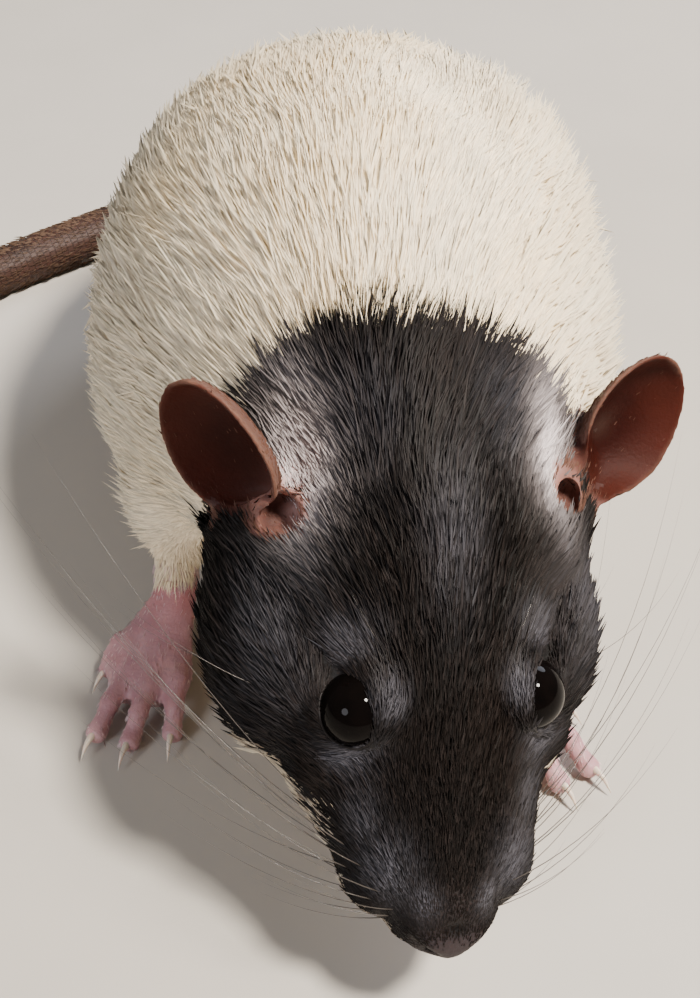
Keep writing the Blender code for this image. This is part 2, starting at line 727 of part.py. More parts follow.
def main():
    clear_scene()
    dark = material("dark_coat", COAT_DARK, 0.75)
    pale = material("pale_coat", COAT_PALE, 0.8)
    pink = material("bare_skin", SKIN_PINK, 0.55)
    ear_skin = material("ear_skin", EAR_BROWN, 0.6)
    tail_skin = material("tail_skin", TAIL_BROWN, 0.7)
    eye_black = material("eye_black", EYE_BLACK, 0.05)
    matrix = head_matrix()
    neck_front = matrix @ Matrix.Translation(Vector((0, NECK_FRONT, 0)) * MM)

    body = body_flesh()
    clear_of_body = grown(body, "clear_of_body")
    for which in SIDES:
        finish(hind_leg(which, body), pale)
    torso, neck = torso_and_neck(body, neck_front)
    finish(torso, pale)
    finish(neck, dark)

    head = knit("head", head_pieces(matrix), *HEAD_KNIT)
    clear_of_head = grown(head, "clear_of_head")
    finish(carve_head(head, matrix, neck_front), dark)
    for which, side in SIDES.items():
        eye = ball("eye_" + which, mirrored(EYE_AT, side), (EYE_RADIUS,) * 3, matrix, 10)
        finish(eye, eye_black)
        finish(ear(which, matrix, (clear_of_head, clear_of_body)), ear_skin)

    for which in SIDES:
        leg = finish(fore_leg(which, clear_of_body), pale)
        cutters = [grown(leg, "cutter"), duplicate(clear_of_body, "cutter")]
        finish(foot("forefoot_" + which, FORE, which, cutters), pink)
        cutters = [duplicate(clear_of_body, "cutter")]
        finish(foot("hindfoot_" + which, HIND, which, cutters), pink)
    for part in tail(clear_of_body):
        finish(part, tail_skin)
    remove(clear_of_body, clear_of_head)
    move_to_origin()


main()
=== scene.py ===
import math

import bmesh
import bpy
import numpy as np
from mathutils import Matrix, Vector
from mathutils.kdtree import KDTree


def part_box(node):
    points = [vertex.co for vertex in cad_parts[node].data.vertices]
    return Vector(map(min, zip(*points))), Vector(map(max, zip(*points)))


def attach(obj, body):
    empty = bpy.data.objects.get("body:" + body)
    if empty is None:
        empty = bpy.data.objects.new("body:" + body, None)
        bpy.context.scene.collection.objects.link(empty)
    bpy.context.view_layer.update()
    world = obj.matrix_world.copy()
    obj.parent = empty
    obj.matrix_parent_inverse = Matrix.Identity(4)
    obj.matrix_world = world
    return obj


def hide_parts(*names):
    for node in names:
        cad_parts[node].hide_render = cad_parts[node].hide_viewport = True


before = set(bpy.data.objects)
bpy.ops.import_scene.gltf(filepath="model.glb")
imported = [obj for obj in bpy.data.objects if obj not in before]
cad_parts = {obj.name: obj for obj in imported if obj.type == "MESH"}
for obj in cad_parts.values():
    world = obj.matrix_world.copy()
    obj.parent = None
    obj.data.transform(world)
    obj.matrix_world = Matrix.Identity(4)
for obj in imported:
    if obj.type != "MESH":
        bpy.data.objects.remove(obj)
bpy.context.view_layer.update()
random = np.random.default_rng(41)
sides = {"right": -1, "left": 1}
mm = 0.001
print("frame loaded")

# The rat's own measure is in millimetres: x to its left, y from nose to rump, z up from the floor.
# The head has axes of its own: the origin midway between the eyes, y to the nape, z to the crown.
head = {"at": (7.6, 13.8, 27.8), "pitch": 32.0, "yaw": 7.5, "roll": 12.7, "eyes": (0.0, -1.1, 0.8)}


def turned(angle, axis):
    return np.array(Matrix.Rotation(math.radians(angle), 3, axis))


headAt = np.array(head["at"])
headAxes = turned(head["yaw"], "Z") @ turned(head["pitch"], "X") @ turned(head["roll"], "Y")


def middle(node):
    low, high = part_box(node)
    return np.array((low + high) / 2) / mm


eyeMiddle = (middle("eye_left") + middle("eye_right")) / 2
ratAt = eyeMiddle - headAt - headAxes @ np.array(head["eyes"])  # where the rat's origin lies


def toWorld(points):
    return (np.asarray(points, float) + ratAt) * mm


def toRat(points):
    return np.asarray(points, float) / mm - ratAt


def inHead(points):
    return (np.asarray(points, float) - headAt) @ headAxes


def fromHead(points):
    return np.asarray(points, float) @ headAxes.T + headAt


def unit(vectors):
    vectors = np.asarray(vectors, float)
    return vectors / np.maximum(np.linalg.norm(vectors, axis=-1, keepdims=True), 1e-9)


def ramp(value, start, end):  # 0 before the start and 1 past the end, smooth between
    t = np.clip((value - start) / (end - start), 0, 1)
    return t * t * (3 - 2 * t)


def bump(value, centre, width):  # 1 at the centre, falling off over the width
    return np.exp(-(((value - centre) / width) ** 2))


def mirrored(place, side):  # the same place on that side of the rat
    return np.array(place) * (side, 1, 1)


def near(points, centre, width, side=1):  # 1 at the centre of a soft ball, 0 well outside it
    return np.exp(-np.sum(((points - mirrored(centre, side)) / np.array(width)) ** 2, axis=1))


def linear(hexColour):  # an sRGB hex colour as linear numbers
    parts = [int(hexColour[k : k + 2], 16) / 255 for k in (1, 3, 5)]
    return np.array([c / 12.92 if c <= 0.04045 else ((c + 0.055) / 1.055) ** 2.4 for c in parts])


def mixed(low, high, share):  # of hex colours or of rows of linear ones
    low, high = (linear(colour) if isinstance(colour, str) else colour for colour in (low, high))
    return low + (high - low) * np.clip(share, 0, 1)[:, None]


def ripple(points, wave, seed):  # smooth noise from about -1 to 1, with swells that wide in mm
    own = np.random.default_rng(seed)
    total = np.zeros(len(points))
    for _ in range(6):
        way = unit(own.normal(size=3)) * (2 * math.pi / (wave * own.uniform(0.6, 1.5)))
        total += np.sin(points @ way + own.uniform(0, 2 * math.pi))
    return total / 2.6


# Node trees
def addNode(tree, kind, links, **settings):
    made = tree.nodes.new("ShaderNode" + kind)
    for name, value in settings.items():
        setattr(made, name, value)
    for socket, source in links.items():
        if isinstance(source, bpy.types.NodeSocket):
            tree.links.new(source, made.inputs[socket])
        else:
            made.inputs[socket].default_value = source
    return made


def newMaterial(name, levels):  # levels go on the shader's own sockets
    made = bpy.data.materials.new(name)
    made.use_nodes = True
    tree = made.node_tree
    shader = tree.nodes["Principled BSDF"]
    for socket, level in levels.items():
        shader.inputs[socket].default_value = level
    return made, tree, shader, addNode(tree, "TexCoord", {}).outputs["Object"]


def grained(name, low, high, grain, detail, levels):  # two colours mixed in grains that wide in mm
    made, tree, shader, place = newMaterial(name, levels)
    noise = addNode(tree, "TexNoise", {"Vector": place, "Scale": 1 / (grain * mm), "Detail": detail})
    tone = addNode(tree, "ValToRGB", {"Fac": noise.outputs["Fac"]})
    for element, colour in zip(tone.color_ramp.elements, (low, high)):
        element.color = (*colour, 1)
    tree.links.new(tone.outputs["Color"], shader.inputs["Base Color"])
    return made, tree, shader, noise.outputs["Fac"]


def shaded(tree, colour, value, low, high):  # darkened to low and lightened to high as the value rises
    level = addNode(tree, "MapRange", {"Value": value, "To Min": low, "To Max": high})
    made = addNode(tree, "HueSaturation", {"Color": colour, "Value": level.outputs["Result"]})
    return made.outputs["Color"]


def newObject(name, data):
    obj = bpy.data.objects.new(name, data)
    bpy.context.collection.objects.link(obj)
    return obj


# Camera and room
view = {"at": (0.0, -60.0, 123.0), "down": 44.5, "focal": 1400.0, "frameHigh": 998.0, "sensor": 36.0}
room = {
    "floor": "#BDB7AE",
    "mottle": 1000 / 60,  # sixty swells to the metre
    "mottled": (0.94, 1.04),
    "air": "#EAE8E6",
    "airStrength": 0.22,
    "floorWide": 6.0,
    "lit": 20.0,  # mm over the floor where the lamps look
}
lamps = {  # place in mm from the rat's middle, size in mm, watts and colour
    "key": {"at": (330, -170, 620), "wide": 110, "watts": 13.6, "colour": "#FFF6EA"},
    "fill": {"at": (-420, -520, 420), "wide": 260, "watts": 2.8, "colour": "#F2F3FA"},
    "rim": {"at": (420, 520, 420), "wide": 300, "watts": 3.5, "colour": "#EEF2FF"},
}


def buildCamera():
    data = bpy.data.cameras.new("camera")
    data.sensor_fit = "VERTICAL"
    data.sensor_height = view["sensor"]
    data.lens = view["focal"] * view["sensor"] / view["frameHigh"]
    data.clip_start = 5 * mm
    camera = newObject("camera", data)
    camera.location = toWorld(view["at"])
    camera.rotation_euler = (math.radians(90 - view["down"]), 0, 0)
    bpy.context.scene.camera = camera


def buildRoom():
    world = bpy.data.worlds.new("studio air")
    world.use_nodes = True
    air = world.node_tree.nodes["Background"]
    air.inputs["Color"].default_value = (*linear(room["air"]), 1)
    air.inputs["Strength"].default_value = room["airStrength"]
    bpy.context.scene.world = world
    half = room["floorWide"] / 2
    mesh = bpy.data.meshes.new("floor")
    corners = [(-half, -half, 0), (half, -half, 0), (half, half, 0), (-half, half, 0)]
    mesh.from_pydata(corners, [], [(0, 1, 2, 3)])
    floor = newObject("floor", mesh)
    # Matt painted board: no gloss, with a faint mottle from the roller.
    tones = [linear(room["floor"]) * level for level in room["mottled"]]
    mesh.materials.append(grained("matt painted board", *tones, room["mottle"], 4, {"Roughness": 0.9})[0])
    for name, lamp in lamps.items():
        data = bpy.data.lights.new(name, "AREA")
        data.shape = "DISK"
        data.size = lamp["wide"] * mm
        data.energy = lamp["watts"]
        data.color = linear(lamp["colour"])
        light = newObject(name, data)
        light.location = Vector(lamp["at"]) * mm
        aim = Vector((0, 0, room["lit"] * mm)) - light.location
        light.rotation_euler = aim.to_track_quat("-Z", "Y").to_euler()


buildCamera()
buildRoom()
print("camera and room ready")


# Shapes in a bmesh, in the rat's millimetres
def smoothRows(rows, steps):  # more rows between each two, on a curve through all of them
    table = np.array(rows, float)
    padded = np.vstack([2 * table[0] - table[1], table, 2 * table[-1] - table[-2]])
    found = []
    for before, start, end, after in zip(padded, padded[1:], padded[2:], padded[3:]):
        for k in range(steps):
            t = k / steps
            bend = (end - before) * t + (2 * before - 5 * start + 4 * end - after) * t**2
            found.append(0.5 * (2 * start + bend + (3 * start - before - 3 * end + after) * t**3))
    found.append(table[-1])
    return np.array(found)


def roundTurn(count):  # angles spread evenly round a circle
    return np.arange(count) * 2 * math.pi / count


def joinRings(clay, low, high):
    for k in range(len(low)):
        clay.faces.new((low[k], low[k - 1], high[k - 1], high[k]))


def addTube(clay, points, radii, count, flat=1.0):  # round a line of points, closed at both ends
    points, radii = np.asarray(points, float), np.asarray(radii, float)
    along = unit(np.gradient(points, axis=0))
    side = unit(np.cross(along, (0.0, 0.0, 1.0)))
    across = side[:, None] * np.cos(roundTurn(count))[None, :, None]
    tall = np.cross(side, along)[:, None] * (np.sin(roundTurn(count)) * flat)[None, :, None]
    rings = points[:, None] + (across + tall) * radii[:, None, None]
    rows = [[clay.verts.new(spot) for spot in ring] for ring in rings]
    for low, high in zip(rows, rows[1:]):
        joinRings(clay, low, high)
    for row, place in ((rows[0], points[0]), (rows[-1][::-1], points[-1])):
        tip = clay.verts.new(place)
        for k in range(count):
            clay.faces.new((row[k - 1], row[k], tip))


def addBall(clay, centre, radii, rings=16):
    place = Matrix.Translation(Vector(centre)) @ Matrix.Diagonal((*radii, 1.0))
    bmesh.ops.create_uvsphere(clay, u_segments=2 * rings, v_segments=rings, radius=1.0, matrix=place)


def addLoop(clay, points, radii, count, centre):  # a closed ring of flesh round a centre
    points = np.asarray(points, float)
    along = unit(np.roll(points, -1, axis=0) - np.roll(points, 1, axis=0))
    away = unit(points - centre)
    side = np.cross(along, away)
    angle = roundTurn(count)
    ring = away[:, None] * np.sin(angle)[None, :, None] + side[:, None] * np.cos(angle)[None, :, None]
    rings = points[:, None] + ring * np.asarray(radii)[:, None, None]
    rows = [[clay.verts.new(spot) for spot in row] for row in rings]
    for k, row in enumerate(rows):
        joinRings(clay, rows[k - 1], row)


def readRows(mesh, key):  # "co" or "normal" of every point
    values = np.zeros(len(mesh.vertices) * 3)
    mesh.vertices.foreach_get(key, values)
    return values.reshape(-1, 3)


def pointsOf(mesh):
    return toRat(readRows(mesh, "co"))


def normalsOf(mesh):
    return readRows(mesh, "normal")


def setPoints(mesh, points):
    mesh.vertices.foreach_set("co", toWorld(points).ravel())
    mesh.update()


def fromClay(name, clay):
    bmesh.ops.recalc_face_normals(clay, faces=clay.faces)
    mesh = bpy.data.meshes.new(name)
    clay.to_mesh(mesh)
    clay.free()
    setPoints(mesh, readRows(mesh, "co"))
    return newObject(name, mesh)


def settle(obj):  # the object's mesh becomes what its modifiers make of it
    graph = bpy.context.evaluated_depsgraph_get()
    made = bpy.data.meshes.new_from_object(obj.evaluated_get(graph), depsgraph=graph)
    obj.modifiers.clear()
    old = obj.data
    obj.data = made
    bpy.data.meshes.remove(old)


def arrayMesh(name, points, triangles):
    mesh = bpy.data.meshes.new(name)
    mesh.vertices.add(len(points))
    mesh.vertices.foreach_set("co", toWorld(points).ravel())
    mesh.loops.add(triangles.size)
    mesh.loops.foreach_set("vertex_index", triangles.ravel().astype(np.int32))
    mesh.polygons.add(len(triangles))
    mesh.polygons.foreach_set("loop_start", np.arange(0, triangles.size, 3, dtype=np.int32))
    mesh.update(calc_edges=True)
    mesh.shade_smooth()
    return mesh


# Feet: each toe is where it leaves the foot (across, along), its turn outward and its length.
# A step of a sole is its place across, along and up, then its radius.
foreFoot = {
    "at": {"right": (-19.2, 41.6, 0.0), "left": (14.4, 35.2, 0.0)},
    "outward": {"right": 14.0, "left": 27.0},
    "toes": (
        (-2.7, -7.4, -9.0, 6.4), (0.1, -8.6, 3.0, 7.3), (3.0, -7.6, 10.0, 8.2),
        (5.2, -4.0, 18.0, 3.5),
    ),
    "toeRadius": 1.42,
    "knuckle": 3.6,
    "sole": (
        (0.0, 3.0, 10.5, 2.5), (0.1, 0.0, 7.6, 2.9), (0.8, -2.8, 4.9, 4.1), (1.2, -5.6, 3.1, 4.9),
        (1.0, -8.0, 2.4, 4.5), (0.7, -10.2, 1.8, 3.0),
    ),
    "soleFlat": 0.62,
}
hindFoot = {
    "at": {"right": (-18.5, 103.0, 0.0), "left": (18.5, 103.0, 0.0)},
    "outward": {"right": 8.0, "left": 8.0},
    "toes": (
        (-3.6, -19.0, -16.0, 6.4), (-2.9, -24.2, -7.0, 9.6), (-0.5, -25.4, 0.0, 10.2),
        (1.9, -24.4, 7.0, 9.6), (3.9, -20.5, 15.0, 7.2),
    ),
    "toeRadius": 1.25,
    "knuckle": 3.3,
    "sole": (
        (0.0, 2.6, 3.4, 1.6), (0.0, 1.4, 3.0, 3.0), (0.0, -4.5, 2.6, 3.6), (0.0, -12.0, 2.6, 3.7),
        (0.1, -20.0, 2.9, 4.4), (0.2, -25.0, 2.5, 4.1), (0.2, -28.0, 1.8, 2.8),
    ),
    "soleFlat": 0.72,
    "ankle": ((0.0, -3.2, 7.4), (2.8, 4.6, 5.4)),
}
toe = {  # share of the toe's length, of the knuckle's height and of the toe's radius
    "steps": (
        (-0.35, 0.80, 0.98), (-0.12, 0.93, 1.06), (0.04, 0.97, 1.12), (0.22, 0.92, 0.90),
        (0.38, 0.88, 0.88), (0.50, 0.78, 1.00), (0.64, 0.58, 0.84), (0.78, 0.42, 0.96),
        (0.90, 0.36, 1.04), (0.98, 0.34, 0.80), (1.03, 0.33, 0.34),
    ),
    "grain": 14,
}
claw = {
    "length": 2.0,
    "radius": 0.42,
    "drop": 1.0,
    "arch": 0.45,
    "sunk": 1.0,
    "above": 0.42,
    "tall": 1.15,
    "lowest": 0.14,
    "hex": "#E6D6C6",
}


def onFoot(kind, which, points):
    side = sides[which]
    axes = turned(side * kind["outward"][which], "Z") @ np.diag((side, 1.0, 1.0))
    return np.asarray(points, float) @ axes.T + np.array(kind["at"][which])


def toeLine(kind, root):
    x, y, turn, length = root
    way = np.array((math.sin(math.radians(turn)), -math.cos(math.radians(turn)), 0.0))
    rows = []
    for along, high, wide in toe["steps"]:
        spot = np.array((x, y, kind["knuckle"] * high)) + way * (length * along)
        rows.append((*spot, kind["toeRadius"] * wide))
    return smoothRows(rows, 3), way


def addFoot(clay, kind, which):
    sole = smoothRows(kind["sole"], 3)
    addTube(clay, onFoot(kind, which, sole[:, :3]), sole[:, 3], 24, kind["soleFlat"])
    for root in kind["toes"]:
        rows, _ = toeLine(kind, root)
        addTube(clay, onFoot(kind, which, rows[:, :3]), rows[:, 3], toe["grain"])
    if "ankle" in kind:
        centre, radii = kind["ankle"]
        addBall(clay, onFoot(kind, which, [centre])[0], radii)


# Ears: where each grows, where it points and what way its cup opens, on the head's axes.
ears = {
    "right": {
        "at": (-15.5, 14.2, 0.7),
        "points": (-0.437, 0.754, 0.490),
        "opens": (-0.696, -0.701, 0.157),
        "canal": (-13.3, 15.3, 2.4),
    },
    "left": {
        "at": (17.0, 16.4, 0.9),
        "points": (0.597, 0.750, 0.285),
        "opens": (0.240, -0.675, 0.698),
        "canal": (13.9, 15.8, 1.8),
    },
}
ear = {
    "length": 14.4,
    "halfWidth": 6.2,
    "deep": 4.2,
    "deepRoot": 1.15,  # times the depth, at the root
    "deepFall": 0.35,  # and less by this at the tip
    "widest": 0.46,
    "root": 0.38,
    "sunk": 0.2,
    "thick": 0.85,
    "tuck": (0.26, 0.04),  # where the inner edge folds in, as a share of the length
    "tuckIn": 0.75,
    "tuckBack": 1.2,
}


def earFrame(which):
    place = ears[which]
    points = unit(place["points"])
    opens = np.array(place["opens"])
    opens = unit(opens - points * opens.dot(points))
    return np.array(place["at"]), points, np.cross(points, opens), opens


def earHalfWidth(t):
    share = np.clip(t / ear["widest"], 0, 1)
    low = ear["halfWidth"] * (ear["root"] + (1 - ear["root"]) * np.sin(share * math.pi / 2))
    past = np.clip((t - ear["widest"]) / (1 - ear["widest"]), 0, 1)
    return np.where(t > ear["widest"], ear["halfWidth"] * np.sqrt(1 - past**2), low)


def cupDepth(t):  # how far the middle of the leaf lies behind its rim
    return ear["deep"] * (ear["deepRoot"] - ear["deepFall"] * t)


def earPlace(points, which):  # t runs from the ear's root to its tip, s across it, depth into the cup
    start, way, across, opens = earFrame(which)
    out = inHead(points) - start
    t = out @ way / ear["length"]
    s = out @ across / np.maximum(earHalfWidth(t), 0.5)
    return t, s, out @ opens


def addEar(clay, which, rows=30, columns=24):
    start, points, across, opens = earFrame(which)
    leaf = bmesh.new()
    grid = []
    for i in range(rows):
        t = math.sin(i / (rows - 1) * math.pi / 2) * (1 + ear["sunk"]) - ear["sunk"]
        deep = cupDepth(t) * math.sqrt(max(0.0, 1 - t**4))
        half = float(earHalfWidth(np.array(t)))
        row = []
        for j in range(columns + 1):
            s = math.sin((2 * j / columns - 1) * math.pi / 2)
            tucked = float(ramp(t, *ear["tuck"])) * (s * sides[which] < 0)
            spot = start + points * (ear["length"] * t) + across * (half * s * (1 - ear["tuckIn"] * tucked))
            spot = spot - opens * (deep * (1 - s**2) + ear["tuckBack"] * tucked)
            row.append(leaf.verts.new(fromHead(spot)))
        grid.append(row)
    for i in range(rows - 1):
        for j in range(columns):
            leaf.faces.new((grid[i][j], grid[i][j + 1], grid[i + 1][j + 1], grid[i + 1][j]))
    bmesh.ops.remove_doubles(leaf, verts=grid[-1], dist=0.01)
    leaf.normal_update()
    thick = ear["thick"] / 2
    front = {v: clay.verts.new(v.co + v.normal * thick) for v in leaf.verts}
    back = {v: clay.verts.new(v.co - v.normal * thick) for v in leaf.verts}
    for face in leaf.faces:
        clay.faces.new([front[v] for v in face.verts])
        clay.faces.new([back[v] for v in reversed(face.verts)])
    for edge in leaf.edges:
        if edge.is_boundary:
            a, b = edge.verts
            clay.faces.new((front[a], front[b], back[b], back[a]))
    leaf.free()


lobe = {"ring": 1.75, "radius": 0.7, "looks": (0.35, -0.25, 0.90), "sunk": 2.2}


def addLobe(clay, which, steps=40):  # the fold of flesh round the canal, at the foot of the ear
    centre = np.array(ears[which]["canal"])
    axis = unit(mirrored(lobe["looks"], sides[which]))
    first = unit(np.cross(axis, (0.0, 1.0, 0.0)))
    second = np.cross(axis, first)
    turn = roundTurn(steps)[:, None]
    path = centre + lobe["ring"] * (first * np.cos(turn) + second * np.sin(turn))
    addLoop(clay, fromHead(path), np.full(steps, lobe["radius"]), 12, fromHead(centre))


tailLine = (  # x, y and height of the tail's middle, then its radius, from root to tip
    (-0.5, 111.0, 12.4, 5.1), (-6.0, 118.6, 10.0, 4.6), (-15.0, 123.6, 6.6, 4.1),
    (-26.0, 123.8, 4.4, 3.8), (-38.0, 118.6, 3.5, 3.5), (-51.2, 109.2, 3.2, 3.25),
    (-64.0, 97.0, 2.9, 3.0), (-75.5, 82.0, 2.6, 2.7), (-83.5, 64.5, 2.2, 2.3),
    (-87.0, 46.0, 1.8, 1.9), (-86.0, 27.5, 1.4, 1.5), (-81.0, 10.5, 1.0, 1.1),
    (-74.5, -3.5, 0.7, 0.75),
)

# Eyes: where they sit on the head, how they look and how far the lids open, in degrees.
eye = {
    "radius": 3.2,
    "at": (7.75, -1.1, 0.8),
    "looks": (0.66, -0.20, 0.72),
    "open": {"right": (68.0, 50.0, 47.0), "left": (68.0, 62.0, 49.0)},  # corners, crown and cheek
    "backCorner": 2.84,  # round the eye from its front corner, in radians
    "wall": 0.5,  # mm of flesh round the ball
    "mound": 0.42,  # how far the lids stand over the ball
    "crease": 0.34,
    "sunk": 0.7,  # how far the skin sinks behind the window
    "hex": ("#030303", "#0C0807"),
    "lidHex": ("#080606", "#191313"),
}
skin = {"voxel": 0.36, "swell": 0.2, "triangles": 186000}  # the swell closes the gaps between the solids

# What grows on each part: the coat's depth over the skin, tufts to a square millimetre, their length,
# width and lift in degrees, how much the part is smoothed, and which way its fur lies (outward, to the
# rump and up). A real rat has finer hair, and a tuft stands for a few.
coatKeys = ("depth", "density", "length", "width", "lift", "soft", "way")
coatRows = {
    "torso": (2.1, 19.6, 5.0, 0.16, 7.0, 0.55, (0.06, 1.0, -0.30)),
    "neck": (1.6, 27.0, 3.8, 0.145, 9.0, 0.55, (0.10, 1.0, -0.22)),
    "head": (0.9, 36.0, 2.8, 0.125, 10.0, 0.5, (0.22, 1.0, -0.42)),  # on the head's own axes
    "ear": (0.0, 3.0, 0.7, 0.03, 8.0, 0.3, None),  # to the ear's tip
    "foreleg": (0.6, 22.0, 2.6, 0.14, 13.0, 0.5, (0.0, -0.25, -1.0)),
    "forefoot": (0.0, 1.6, 0.8, 0.04, 10.0, 0.3, (0.15, -1.0, -0.3)),
    "hindleg": (2.1, 16.5, 4.9, 0.17, 10.0, 0.55, (0.0, 0.55, -0.85)),
    "hindfoot": (0.0, 1.6, 0.8, 0.04, 10.0, 0.3, (0.1, -1.0, -0.3)),
    "tail": (0.0, 3.2, 1.3, 0.06, 12.0, 0.4, None),  # along the tail
}
coat = {name: dict(zip(coatKeys, row)) for name, row in coatRows.items()}
parts = list(coat)
solidsOf = {
    "torso": ["torso"],
    "neck": ["neck"],
    "head": ["head"],
    "foreleg": ["foreleg_right", "foreleg_left"],
    "hindleg": ["hindleg_right", "hindleg_left"],
    "tail": ["tail_1", "tail_2", "tail_3", "tail_4"],
}


def addSolid(clay, node):
    shape = bmesh.new()
    shape.from_mesh(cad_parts[node].data)
    for vert in shape.verts:
        vert.co = Vector(toRat(vert.co))
    bmesh.ops.remove_doubles(shape, verts=shape.verts, dist=0.001)
    shape.normal_update()
    for vert in shape.verts:
        vert.co += vert.normal * skin["swell"]
    mesh = bpy.data.meshes.new(node + "_swollen")
    shape.to_mesh(mesh)
    shape.free()
    clay.from_mesh(mesh)
    bpy.data.meshes.remove(mesh)


def buildClay():
    clay = bmesh.new()

    def mark(part):  # every point that has no mark yet belongs to this part
        layer = clay.verts.layers.int.get("part") or clay.verts.layers.int.new("part")
        for vert in clay.verts:
            if vert[layer] == 0:
                vert[layer] = parts.index(part) + 1

    for part, nodes in solidsOf.items():
        for node in nodes:
            addSolid(clay, node)
        mark(part)
    for which, side in sides.items():
        addBall(clay, fromHead(mirrored(eye["at"], side)), (eye["radius"] + eye["wall"],) * 3)
        mark("head")
        for part, kind in (("forefoot", foreFoot), ("hindfoot", hindFoot)):
            addFoot(clay, kind, which)
            mark(part)
        addEar(clay, which)
        addLobe(clay, which)
        mark("ear")
    layer = clay.verts.layers.int["part"]
    spots = np.array([tuple(vert.co) for vert in clay.verts])
    return clay, spots, np.array([vert[layer] - 1 for vert in clay.verts])


def neighbours(mesh):
    pairs = np.zeros(len(mesh.edges) * 2, np.int32)
    mesh.edges.foreach_get("vertices", pairs)
    pairs = pairs.reshape(-1, 2)
    count = np.bincount(pairs.ravel(), minlength=len(mesh.vertices)).astype(float)
    return pairs, np.maximum(count, 1)


def blurred(values, pairs, count, times):
    values = np.array(values, float)
    columns = values.reshape(len(values), -1)
    for _ in range(times):
        for k in range(columns.shape[1]):
            column = columns[:, k]
            total = np.bincount(pairs[:, 0], column[pairs[:, 1]], len(column))
            total += np.bincount(pairs[:, 1], column[pairs[:, 0]], len(column))
            columns[:, k] = column + (total / count - column)
    return columns.reshape(values.shape)


def treeOf(spots):
    tree = KDTree(len(spots))
    for k, spot in enumerate(spots):
        tree.insert(spot, k)
    tree.balance()
    return tree


def nearestOf(points, spots):  # which spot is nearest to each point
    tree = treeOf(spots)
    return np.array([tree.find(point)[1] for point in points])


def isPart(part, *names):  # true where the part is one of these
    return np.isin(part, [parts.index(name) for name in names])


leafEnds = {  # where the head begins beside an ear, in mm or as shares of the leaf's length and width
    "behind": 1.3,
    "inner": -1.35,
    "innerBehind": -0.3,
    "along": (0.08, 0.5),
    "outer": 17.2,
    "outerRoot": 0.04,
    "least": 12.8,
    "canal": 2.9,
}


def partsAt(points):  # the part of each point, with the ear's leaf cut off where the head begins
    part = labels[nearestOf(points, spots)]
    local = inHead(points)
    for which, side in sides.items():
        t, s, depth = earPlace(points, which)
        out = local[:, 0] * side
        behind = depth < -cupDepth(t) * (1 - s**2) - leafEnds["behind"]
        behind &= (s * side < leafEnds["innerBehind"]) & (t > leafEnds["along"][0])
        inner = ((s * side < leafEnds["inner"]) | behind) & (t < leafEnds["along"][1])
        off = ((out < leafEnds["outer"]) & (t < leafEnds["outerRoot"])) | (out < leafEnds["least"]) | inner
        off &= isPart(part, "ear") & (out > 0)
        off &= np.linalg.norm(local - ears[which]["canal"], axis=1) > leafEnds["canal"]
        part[off] = parts.index("head")
    return part


def eyePlace(which):
    at, looks = (mirrored(eye[key], sides[which]) for key in ("at", "looks"))
    gaze = unit(looks)
    along = np.array((0.0, -1.0, 0.0))
    along = unit(along - gaze * along.dot(gaze))
    return at, gaze, along, np.cross(gaze, along) * sides[which]


def lidAngle(turn, which):  # how far the lids' edge is from the gaze, with a point towards the nose
    wide, crown, cheek = np.radians(eye["open"][which])
    narrow = crown + (cheek - crown) * (0.5 + 0.5 * np.sin(turn))
    corner = 0.0
    for place, size in ((0.0, 0.07), (eye["backCorner"], 0.20)):
        away = np.arctan2(np.sin(turn - place), np.cos(turn - place))
        corner = corner + size * np.exp(-((away / 0.35) ** 2))
    return np.hypot(wide * np.cos(turn), narrow * np.sin(turn)) * (1 + corner)


def roundEye(local, which):  # way and reach from the eye, angle from its gaze, and how far past the lids
    at, gaze, along, across = eyePlace(which)
    way = unit(local - at)
    reach = np.linalg.norm(local - at, axis=1)
    angle = np.arccos(np.clip(way @ gaze, -1, 1))
    past = angle - lidAngle(np.arctan2(way @ across, way @ along), which)
    return way, reach, angle, past


def openEyes(points):  # sinks the skin under each eyeball's window and hugs the ball round it
    local = inHead(points)
    radius = eye["radius"]
    for which in sides:
        way, reach, angle, past = roundEye(local, which)
        close = ramp(reach, radius + 3.2, radius + 1.0) * (angle < 2.0)
        hug = np.maximum(reach, radius + 0.1)
        rise = radius + eye["mound"] - eye["crease"] * np.exp(-((past / 0.16) ** 2))
        hug = np.where(hug < rise, rise, hug + (rise - hug) * 0.65 * ramp(past, 0.5, 0.0))
        inner = np.where(past < 0, radius - eye["sunk"] * ramp(-past, 0.0, 0.10), hug)
        local = eyePlace(which)[0] + way * (reach + (inner - reach) * close)[:, None]
    return fromHead(local)


nose = {
    "nostril": (1.8, -21.8, -5.2),
    "pad": (0.0, -21.2, -4.8),
    "fold": (0.0, -19.8, -2.8),
    "cleft": 0.32,
}
faceSwells = (  # mm out of the skin on the right and on the left, with a place and a width
    (-0.55, -0.55, nose["nostril"], (0.75, 1.6, 0.55)),
    (-0.30, -0.30, (1.8 + 0.9, -21.8 + 1.0, -5.2 + 0.35), (0.6, 1.1, 0.4)),  # the nostril's slit
    (0.28, 0.28, (1.8 + 0.3, -21.8 + 0.4, -5.2 + 1.3), (1.1, 1.4, 0.6)),  # and its wing
    (0.4, 1.5, (6.0, -14.2, -5.4), (3.0, 4.6, 4.0)),  # whisker pads
    (0.6, 0.6, (2.9, -19.0, -5.0), (1.8, 2.0, 2.2)),  # upper lip
    (0.0, 0.9, (13.0, 4.5, -3.5), (3.0, 6.0, 5.0)),  # cheek
)


